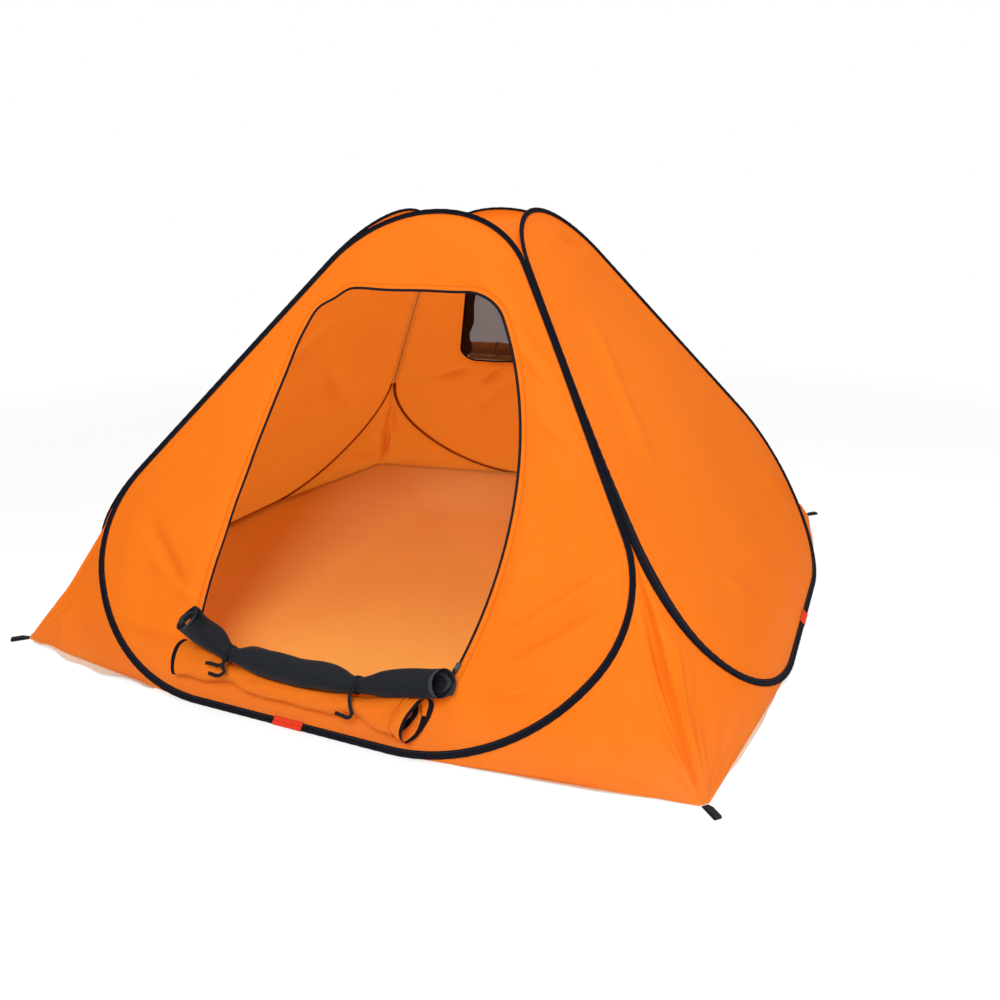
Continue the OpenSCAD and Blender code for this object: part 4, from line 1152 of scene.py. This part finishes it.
coverRoll = {
    "half": .33, "r": .027, "netHalf": .0005, "tieX": .2, "turns": 3.6, "core": .3, "start": -2.0,
    "fold": .03, "seed": 9, "tied": 0, "long": 90, "round": 30, "bound": .006, "boundFrom": 3.4,
    "slant": (.004, .004), "tilt": (0, 0), "reach": (0, 0), "recess": .006, "flat": (.66, .42)}
wallClear = roll["clothHalf"] + tent["seatGap"]
coverClear = tie["clear"] + tie["thick"] + coverRoll["r"]
coverS = window["low"] + binding["wide"] + coverClear
coverN = coverRoll["netHalf"] + tent["seatGap"] + coverClear


def pinch(x):
    # how far the ties draw a roll in, from 0 to 1
    beside = np.maximum(np.abs(np.abs(x) - roll["tieX"]) - tie["wide"] / 2, 0)
    return bell(beside / roll["pinchOver"])


def rollFolds(x, turn, seed):
    # folds of a roll: waves that go whole times round it and run along it
    rng = np.random.default_rng(seed)
    total = 0
    for k in wound["waves"]:
        length = rng.uniform(*wound["waveLong"])
        phase = rng.uniform(*wound["wavePhase"])
        total = total + np.sin(k * turn + 2 * np.pi * x / length + phase) / math.sqrt(k)
    return total / 2


def meshPlace(x):
    # both ends rise, the left one swings off the wall and the right one droops again
    u, first = (x / meshRoll["half"]) ** 2, meshRoll["swingFrom"]
    swing = meshRoll["swing"] * np.clip((-x - first) / (meshRoll["half"] - first), 0, 1) ** 2
    droop = meshRoll["droop"] * np.clip(x / meshRoll["half"], 0, 1) ** 2
    s = meshRoll["s"] + meshRoll["lift"] * u - roll["dip"] * pinch(x) - droop
    return s, wallClear + meshRoll["out"] + meshRoll["r"] + meshRoll["stand"] * u + swing


def meshRadius(x):
    # drawn in at the ties
    return meshRoll["r"] - meshRoll["pinch"] * pinch(x)


def gaping(x):
    # how far the outer roll's right end opens
    return outerRoll["gape"] * np.clip(x / outerRoll["half"], 0, 1) ** outerRoll["gapePower"]


def outerFlare(x):
    # how much fuller the outer roll is towards its ends
    return outerRoll["flare"] * (x / outerRoll["half"]) ** 2


def outerPlace(x):
    # a little higher at the ends and at the ties, and sloping down to the right
    s = outerRoll["s"] + outerRoll["flareUp"] * outerFlare(x) - outerRoll["slope"] * x
    s = s + (outerRoll["rise"] - roll["dip"]) * pinch(x)
    return s - gaping(x), wallClear + outerDepth(x)


def outerRadius(x):
    # fuller at the ends, drawn in at the ties
    return outerRoll["r"] + outerFlare(x) - outerRoll["pinch"] * pinch(x) + gaping(x)


def outerDepth(x):
    # half the depth, more where it gapes
    return outerRoll["depth"] + gaping(x)


def underMesh(x, s, n):
    # pushes cloth out of the mesh roll that lies on it, straight away from that roll's middle line
    midS, midN = meshPlace(x)
    far = np.hypot(s - midS, n - midN)
    grow = np.maximum(meshRadius(x) + outerRoll["clear"], far) / np.maximum(far, tiny)
    return midS + (s - midS) * grow, np.maximum(midN + (n - midN) * grow, outerRoll["lowest"])


def coverPlace(x):
    # straight along the window's lower edge
    return coverS + 0 * x, coverN + 0 * x


def coverRadius(x):
    # the same all along
    return coverRoll["r"] + 0 * x


def endShift(x, turn, spec, more=0):
    # how far a roll's ends lean out or in, more at one side of each turn, growing towards the ends
    left, right = [spec["reach"][k] - spec["slant"][k] * (1 + np.sin(turn)) - spec["tilt"][k] * np.cos(turn)
                   for k in (0, 1)]
    grown = (np.abs(x) / spec["half"]) ** wound["leanPower"]
    return np.sign(x) * grown * (np.where(x > 0, right, left) + more)


def woundSheet(side, spec, place, tall, deep, press=None):
    # a spiral sheet: how far out falls from 1 to the core as it turns, times half a height and half a depth
    edge = spec["half"] - spec["bound"]
    tip = np.linspace(edge, spec["half"], wound["tipCells"])
    x = np.concatenate([-tip[:0:-1], np.linspace(-edge, edge, spec["long"]), tip[1:]])[:, None]
    turn = np.linspace(0, spec["turns"] * 2 * np.pi, round(spec["turns"] * spec["round"]))[None, :]
    drawn = pinch(x) * spec["tied"]
    folds = spec["fold"] * rollFolds(x, turn, spec["seed"]) * (1 - wound["tiedCalm"] * drawn)
    pleats = np.sin(wound["pleats"] * turn + wound["pleatDrift"] * np.sin(x * wound["pleatRun"])) * drawn
    out = 1 - (1 - spec["core"]) * turn / turn[0, -1]
    out = out * (wound["full"] + folds + wound["pleat"] * pleats)
    out = out * (1 + wound["lap"] * np.exp(-turn / wound["lapOver"]))
    frayed = wound["frayed"] * np.sin(turn * wound["fraying"] + spec["seed"])
    recess = spec["recess"] * ease(turn / np.pi - wound["recessFrom"])
    ragged = endShift(x, turn + spec["start"], spec, frayed - recess)
    s, n = place(x)
    s = s + tall(x) * out * np.cos(turn + spec["start"])
    n = np.maximum(n + deep(x) * out * np.sin(turn + spec["start"]), wound["lowest"])
    if press:
        s, n = press(x, s, n)
    points = toTent(side, x + ragged, s, n)
    u, v = np.meshgrid(x[:, 0], lengthAlong(points[len(x) // 2]), indexing="ij")
    middle = points.reshape(-1, 3).mean(0)

    def part(rows, columns):
        # some rows and columns of the roll as a sheet of their own
        return sheetGrid(points[rows, columns], u[rows, columns], v[rows, columns], away=middle)

    # the binding shows on the outside, and in the roll's mouth from the turn where it can't show through
    last = wound["tipCells"] - 1
    ends = slice(0, last + 1), slice(-last - 1, None)
    under, inside = round(wound["boundTurns"] * spec["round"]), round(spec["boundFrom"] * spec["round"])
    cloth = [part(slice(last, -last), slice(None))] + [part(end, slice(under - 1, inside)) for end in ends]
    bound = [part(end, columns) for end in ends for columns in (slice(0, under), slice(inside - 1, None))]
    return cloth, bound


# Skirts: rolled cloth's own strip from its seam to the roll

# seam and end are steps from the seam's line and, in radii, from the roll's middle; bend is two points that
# skirtPiece works out but does not use
skirt = {"half": .33, "steps": 80, "rows": 9, "lift": .0022, "lowest": .002, "wave": .004, "waveEvery": .12}
doorSkirt = {"seam": -.004, "end": (.3, .7), "bend": ((.146, .004), (.124, .024))}
coverSkirt = {"seam": .002, "end": (.6, .8), "bend": ((.762, .002), (.781, .0085))}


def skirtPiece(name, side, spec, seam, place, radius):
    # straight from the seam to the roll's under side, waved in between, its end following the roll along its
    # length
    x = np.linspace(-skirt["half"], skirt["half"], skirt["steps"])[:, None]
    t = np.linspace(0, 1, skirt["rows"])[None, :]
    endS, endN = [mid - share * radius(x) for mid, share in zip(place(x), spec["end"])]
    s = (seam(x) + spec["seam"]) * (1 - t) + endS * t
    wave = skirt["wave"] * np.sin(np.pi * t) * ripple(x, 0 * x, skirt["waveEvery"], seed=27)
    n = skirt["lift"] * (1 - t) + endN * t + wave
    points = toTent(side, x, s, np.maximum(n, skirt["lowest"]))
    piece = makePiece(name, [sheetGrid(points, x, s)], orangeCloth, None)
    [toTent(side, .0, *p).tolist() for p in spec["bend"]]
    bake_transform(piece)


def sillSeam(x):
    # the door's sill as it sags
    return sagged(np.stack([x, np.full_like(x, door["sill"])], -1))[..., 1]


def windowSeam(x):
    # the window's lower edge
    return window["low"] + 0 * x


skirtPiece("door_sill_skirt", 0, doorSkirt, sillSeam, meshPlace, meshRadius)

tuck = {"rows": 14, "cells": 12, "inset": .030, "long": .060, "start": -2.75, "wide": 2.1, "narrower": 1.5,
        "deeper": .17}


def tuckedCorner():
    # a corner of the outer door caught in the mesh roll's left end: a patch on its hollow, narrower inwards
    t = np.linspace(0, 1, tuck["rows"])[:, None]
    x = -meshRoll["half"] + tuck["inset"] + t * tuck["long"]
    turn = tuck["start"] + (tuck["wide"] - tuck["narrower"] * t) * np.linspace(0, 1, tuck["cells"])[None, :]
    s, n = meshPlace(x)
    r = meshRadius(x) * (meshRoll["core"] - tuck["deeper"])
    shift = endShift(x, turn, {**meshRoll, "tilt": (0, 0)})
    points = toTent(0, x + shift, s + r * np.cos(turn), n + r * np.sin(turn))
    return sheetGrid(points, *stripUv(points))


sheet, bound = woundSheet(0, meshRoll, meshPlace, meshRadius, meshRadius)
piece = makePiece("mesh_door_wound", sheet, blackMesh, "door_rolls", ["mesh_door_roll"],
                  merge=True)
edges = makePiece("mesh_door_bound_edges", bound, edgeTape, "door_rolls")
sheet, bound = woundSheet(0, outerRoll, outerPlace, outerRadius, outerDepth, underMesh)
sheet.append(tuckedCorner())
piece = makePiece("outer_door_wound", sheet, orangeCloth, "door_rolls", ["outer_door_roll"],
                  merge=True)
edges = makePiece("outer_door_bound_edges", bound, blackBinding, "door_rolls")


# Ties: a tape round each roll, with a knot and loose ends at the door

def smoothPath(points, count):
    # a smooth line through a few points, each part bent to meet its neighbours' directions
    p = np.asarray(points, float)
    p = np.concatenate([2 * p[:1] - p[1:2], p, 2 * p[-1:] - p[-2:-1]])
    t = np.linspace(0, len(p) - 3, count)
    k = np.minimum(t.astype(int), len(p) - 4)
    f = (t - k)[:, None]
    a, b, c, d = p[k], p[k + 1], p[k + 2], p[k + 3]
    bent = (c - a) * f + (2 * a - 5 * b + 4 * c - d) * f ** 2 + (3 * b - a - 3 * c + d) * f ** 3
    return b + bent / 2


def tapeAlong(side, path, wide, thick):
    # a flat tape that follows a path in the wall's frame, lying flat to the wall
    ahead = unit(np.gradient(path, axis=0))
    across = unit(np.cross([0., 0., 1.], ahead))
    tube = sweep(path, across, np.cross(ahead, across), tapeProfile(wide, thick, tie["edgeCells"]))
    return cappedTube(toTent(side, tube[..., 0], tube[..., 1], tube[..., 2]), lengthAlong(path))


def tieGrids(side, x, s, n, r, tails=()):
    # a tape round a roll, a small knot under its front, and loose ends from the knot
    turn = np.linspace(0, 2 * np.pi, tie["cells"], endpoint=False)[:, None]
    section = tapeProfile(tie["wide"], tie["thick"], tie["edgeCells"])
    out = r + tie["clear"] * tie["snug"] + tie["thick"] / 2 + section[None, :, 1]
    across = section[None, :, 0] * (1 + tie["uneven"] * np.sin(tie["lumps"] * turn))
    grids = [closedTube(toTent(side, x + across, s + out * np.cos(turn), n + out * np.sin(turn)))]
    place = np.array([x, s - knot["down"] * r, n + knot["out"] * r + knot["clear"]])
    for tail in tails:
        path = smoothPath(place + np.array(tail), tie["tailSteps"])
        grids.append(tapeAlong(side, path, tie["tailWide"], tie["tailThick"]))
    if tails:
        grids.append(knotGrid(side, place))
    return grids


def knotGrid(side, place):
    # a small thick ring, lumpy and wider than high
    a = np.linspace(0, 2 * np.pi, knot["rows"], endpoint=False)[:, None]
    b = np.linspace(0, 2 * np.pi, knot["cells"], endpoint=False)[None, :]
    thick = knot["thick"] * (1 + knot["uneven"] * np.sin(tie["lumps"] * a))
    out = knot["r"] + thick * np.cos(b)
    x, s = place[0] + knot["wide"] * out * np.cos(a), place[1] + knot["high"] * out * np.sin(a)
    points = toTent(side, x, s, place[2] + knot["lift"] + thick * np.sin(b))
    u = np.linspace(0, knot["uvLong"], knot["rows"] + 1)
    v = np.linspace(0, knot["uvRound"], knot["cells"] + 1)
    uv = np.stack(np.meshgrid(u, v, indexing="ij"), -1)
    return {"points": points, "uv": uv, "closed": (True, True)}


# loose ends as steps across, up and out from the knot
leftTails = [
    [(0, 0, .002), (.003, -.012, .002), (-.012, -.020, .001), (-.034, -.019, .0), (-.052, -.021, .0)],
    [(0, 0, .002), (.003, -.021, .0), (.009, -.032, -.003), (-.009, -.044, -.006), (-.040, -.043, -.007)]]
rightTails = [
    [(0, 0, .002), (-.002, -.018, -.003), (.001, -.036, -.010), (.006, -.054, -.022)],
    [(.006, -.054, -.021), (-.004, -.062, -.024), (-.020, -.061, -.024), (-.040, -.058, -.022)]]
for name, way, tails in (("left_roll_tie", -1, leftTails), ("right_roll_tie", 1, rightTails)):
    x = way * roll["tieX"]
    grids = tieGrids(0, x, *meshPlace(x), meshRadius(x), tails)
    makePiece(name + "_tape", grids, tieTape, "door_rolls", [name], merge=True)
print("door rolls made")


# Window: netting, the rolled cover outside it, and the cover's ties

net = {"cells": 61, "lap": .004, "hold": 3, "sag": .004, "foldAcross": 2.4, "foldDown": .5, "foldEvery": .22,
       "bandUneven": (.006, .12, 19)}


def netPiece():
    # a disc of netting inside the window's outline, with slack folds that hang from its top
    line = swayed(windowLine, net["lap"])
    x, s, far = discInside(line, window["middle"], net["cells"])
    folds = ripple(x * net["foldAcross"], s * net["foldDown"], net["foldEvery"], seed=17) - 1
    points = toTent(2, x, s, np.minimum(ease((1 - far) * net["hold"]) * net["sag"] * folds, 0))
    size = (2 * window["lowHalf"], window["top"] - window["low"])
    side = window["lowHalf"] - (window["lowHalf"] - window["topHalf"]) * (s - window["low"]) / size[1]
    grid = sheetGrid(points, x, s, sideGap=side - np.abs(x) + rippled(x, s, net["bandUneven"]))
    piece = makePiece("window_netting", [grid], greyNet, "tent", ["window_mesh"])


netPiece()
sheet, bound = woundSheet(2, coverRoll, coverPlace, coverRadius, coverRadius)
piece = makePiece("window_cover_wound", sheet + bound, orangeCloth, "window_cover", ["window_cover_roll"],
                  merge=True)
skirtPiece("window_cover_skirt", 2, coverSkirt, windowSeam, coverPlace, coverRadius)
ties = []
for x in (-coverRoll["tieX"], coverRoll["tieX"]):
    ties += tieGrids(2, x, coverS, coverN, coverRoll["r"])
makePiece("window_tie_tapes", ties, tieTape, "window_cover", ["window_ties"])
print("window made")


# Peg loops: webbing folded back on itself, sewn at the corner

loop = {"long": .05, "wide": .017, "thick": .0015, "gap": .006, "sewn": .009, "tail": .0006, "outCells": 12,
        "endCells": 16, "backCells": 8, "sewnCells": 10}


def loopPiece(side):
    # a tape section carried out along the ground, round the end and back down to the sewn place
    thick = loop["thick"]
    high = loop["gap"] + 2 * thick
    end = np.array([loop["long"] - high / 2, high / 2])
    turn = arcPoints(end, (high - thick) / 2, -np.pi / 2, np.pi / 2, loop["endCells"])
    start = np.array([0, thick / 2])
    back = np.array([2 * loop["sewn"], high - thick / 2])
    last = np.array([loop["tail"], 1.5 * thick])
    row = np.concatenate([[start], between(start, turn[0], loop["outCells"]), turn,
                          between(turn[-1], back, loop["backCells"]), [back],
                          between(back, last, loop["sewnCells"]), [last]])
    flat = 0 * row[:, 0]
    path = np.stack([tent["cornerHalf"] * math.sqrt(2) + tent["seatGap"] + row[:, 0], flat, row[:, 1]], 1)
    ahead = unit(np.gradient(row, axis=0))
    lift = np.stack([-ahead[:, 1], flat, ahead[:, 0]], 1)
    across = np.broadcast_to([0., 1., 0.], path.shape)
    tube = atCorner(side, sweep(path, across, lift, tapeProfile(loop["wide"], thick)))
    name = corners[side] + "_peg_loop"
    grid = cappedTube(tube, lengthAlong(path))
    makePiece(name + "_webbing", [grid], blackWebbing, corners[side] + "_loop", [name],
              merge=True)


for k in range(4):
    loopPiece(k)
print("peg loops made")


# Stage: a pale floor, a white world, soft lamps and the camera

stage = {"floorHalf": 40., "floorDrop": .0006, "floorColor": (.9, .9, .9), "world": .42, "white": (1, 1, 1),
         "whiteShare": .55, "whiteNear": 1.6, "whiteFar": 4.5, "aim": (0, 0, .4)}
lamps = {"keyLamp": {"place": (1.6, -5.2, 4.2), "size": 2.4, "power": 350.},
         "fillLamp": {"place": (5.0, -.5, 3.0), "size": 3.0, "power": 95.},
         "topLamp": {"place": (-.6, .6, 5.2), "size": 3., "power": 105.}}
camera = {"place": (1.2584, -2.6377, 1.2214), "yaw": math.radians(-23.904), "pitch": math.radians(18.425),
          "roll": math.radians(-.554), "lens": 32.396, "sensor": 36}


def seenDirectly(tree):
    # 1 for rays from the camera, a mirror or glass
    path = addNode(tree, "ShaderNodeLightPath").outputs
    both = mathNode(tree, "MAXIMUM", path["Is Camera Ray"], path["Is Glossy Ray"])
    return mathNode(tree, "MAXIMUM", both, path["Is Transmission Ray"])


def makeFloor():
    # pale for light, and white to the eye, more so further from the tent
    h, z = stage["floorHalf"], -stage["floorDrop"]
    mesh = bpy.data.meshes.new("studio_floor")
    mesh.from_pydata([(-h, -h, z), (h, -h, z), (h, h, z), (-h, h, z)], [], [(0, 1, 2, 3)])
    floor = bpy.data.objects.new("studio_floor", mesh)
    scene.collection.objects.link(floor)
    material = bpy.data.materials.new("studioFloor")
    mesh.materials.append(material)
    tree, give = emptyTree(material, "ShaderNodeOutputMaterial")
    place = addNode(tree, "ShaderNodeTexCoord").outputs["Object"]
    far = addNode(tree, "ShaderNodeVectorMath", place, operation="LENGTH").outputs["Value"]
    whiter = (stage["whiteNear"], stage["whiteFar"], stage["whiteShare"], 1.)
    fade = addNode(tree, "ShaderNodeMapRange", far, *whiter)
    share = mathNode(tree, "MULTIPLY", seenDirectly(tree), fade.outputs[0])
    pale = addNode(tree, "ShaderNodeBsdfDiffuse", Color=stage["floorColor"])
    white = addNode(tree, "ShaderNodeEmission", Strength=1.)
    feed(tree, mixShaders(tree, share, pale, white).outputs[0], give)


def makeWorld():
    # soft light from all round, and white to the eye
    scene.world = bpy.data.worlds.new("studioWorld")
    tree, give = emptyTree(scene.world, "ShaderNodeOutputWorld")
    light = addNode(tree, "ShaderNodeBackground", Color=stage["white"], Strength=stage["world"])
    white = addNode(tree, "ShaderNodeBackground", Color=stage["white"], Strength=1.)
    feed(tree, mixShaders(tree, seenDirectly(tree), light, white).outputs[0], give)


def setUp(name, data, place, right, up, back):
    # a lamp or camera by its place and its own axes
    made = bpy.data.objects.new(name, data)
    scene.collection.objects.link(made)
    made.matrix_world = Matrix([*np.stack([right, up, back, place], 1).tolist(), (0, 0, 0, 1)])
    return made


def softLamp(name, spec):
    # a square lamp that faces the tent
    data = bpy.data.lights.new(name, "AREA")
    data.size = spec["size"]
    data.energy = spec["power"]
    back = unit(np.subtract(spec["place"], stage["aim"]))
    right = unit(np.cross([0, 0, 1.], back))
    setUp(name, data, spec["place"], right, np.cross(back, right), back)


def makeCamera():
    # forward from yaw and pitch, right level with the ground, then rolled
    yaw, pitch, tilt = camera["yaw"], camera["pitch"], camera["roll"]
    ahead = np.array([math.sin(yaw) * math.cos(pitch), math.cos(yaw) * math.cos(pitch), -math.sin(pitch)])
    level = np.array([math.cos(yaw), -math.sin(yaw), 0])
    upright = np.cross(level, ahead)
    right = math.cos(tilt) * level + math.sin(tilt) * upright
    up = math.cos(tilt) * upright - math.sin(tilt) * level
    data = bpy.data.cameras.new("photoCamera")
    data.lens = camera["lens"]
    data.sensor_width = camera["sensor"]
    scene.camera = setUp("photoCamera", data, camera["place"], right, up, -ahead)


makeFloor()
makeWorld()
for lampName, lampSpec in lamps.items():
    softLamp(lampName, lampSpec)
makeCamera()
scene.view_settings.view_transform = "Standard"
print("stage made")
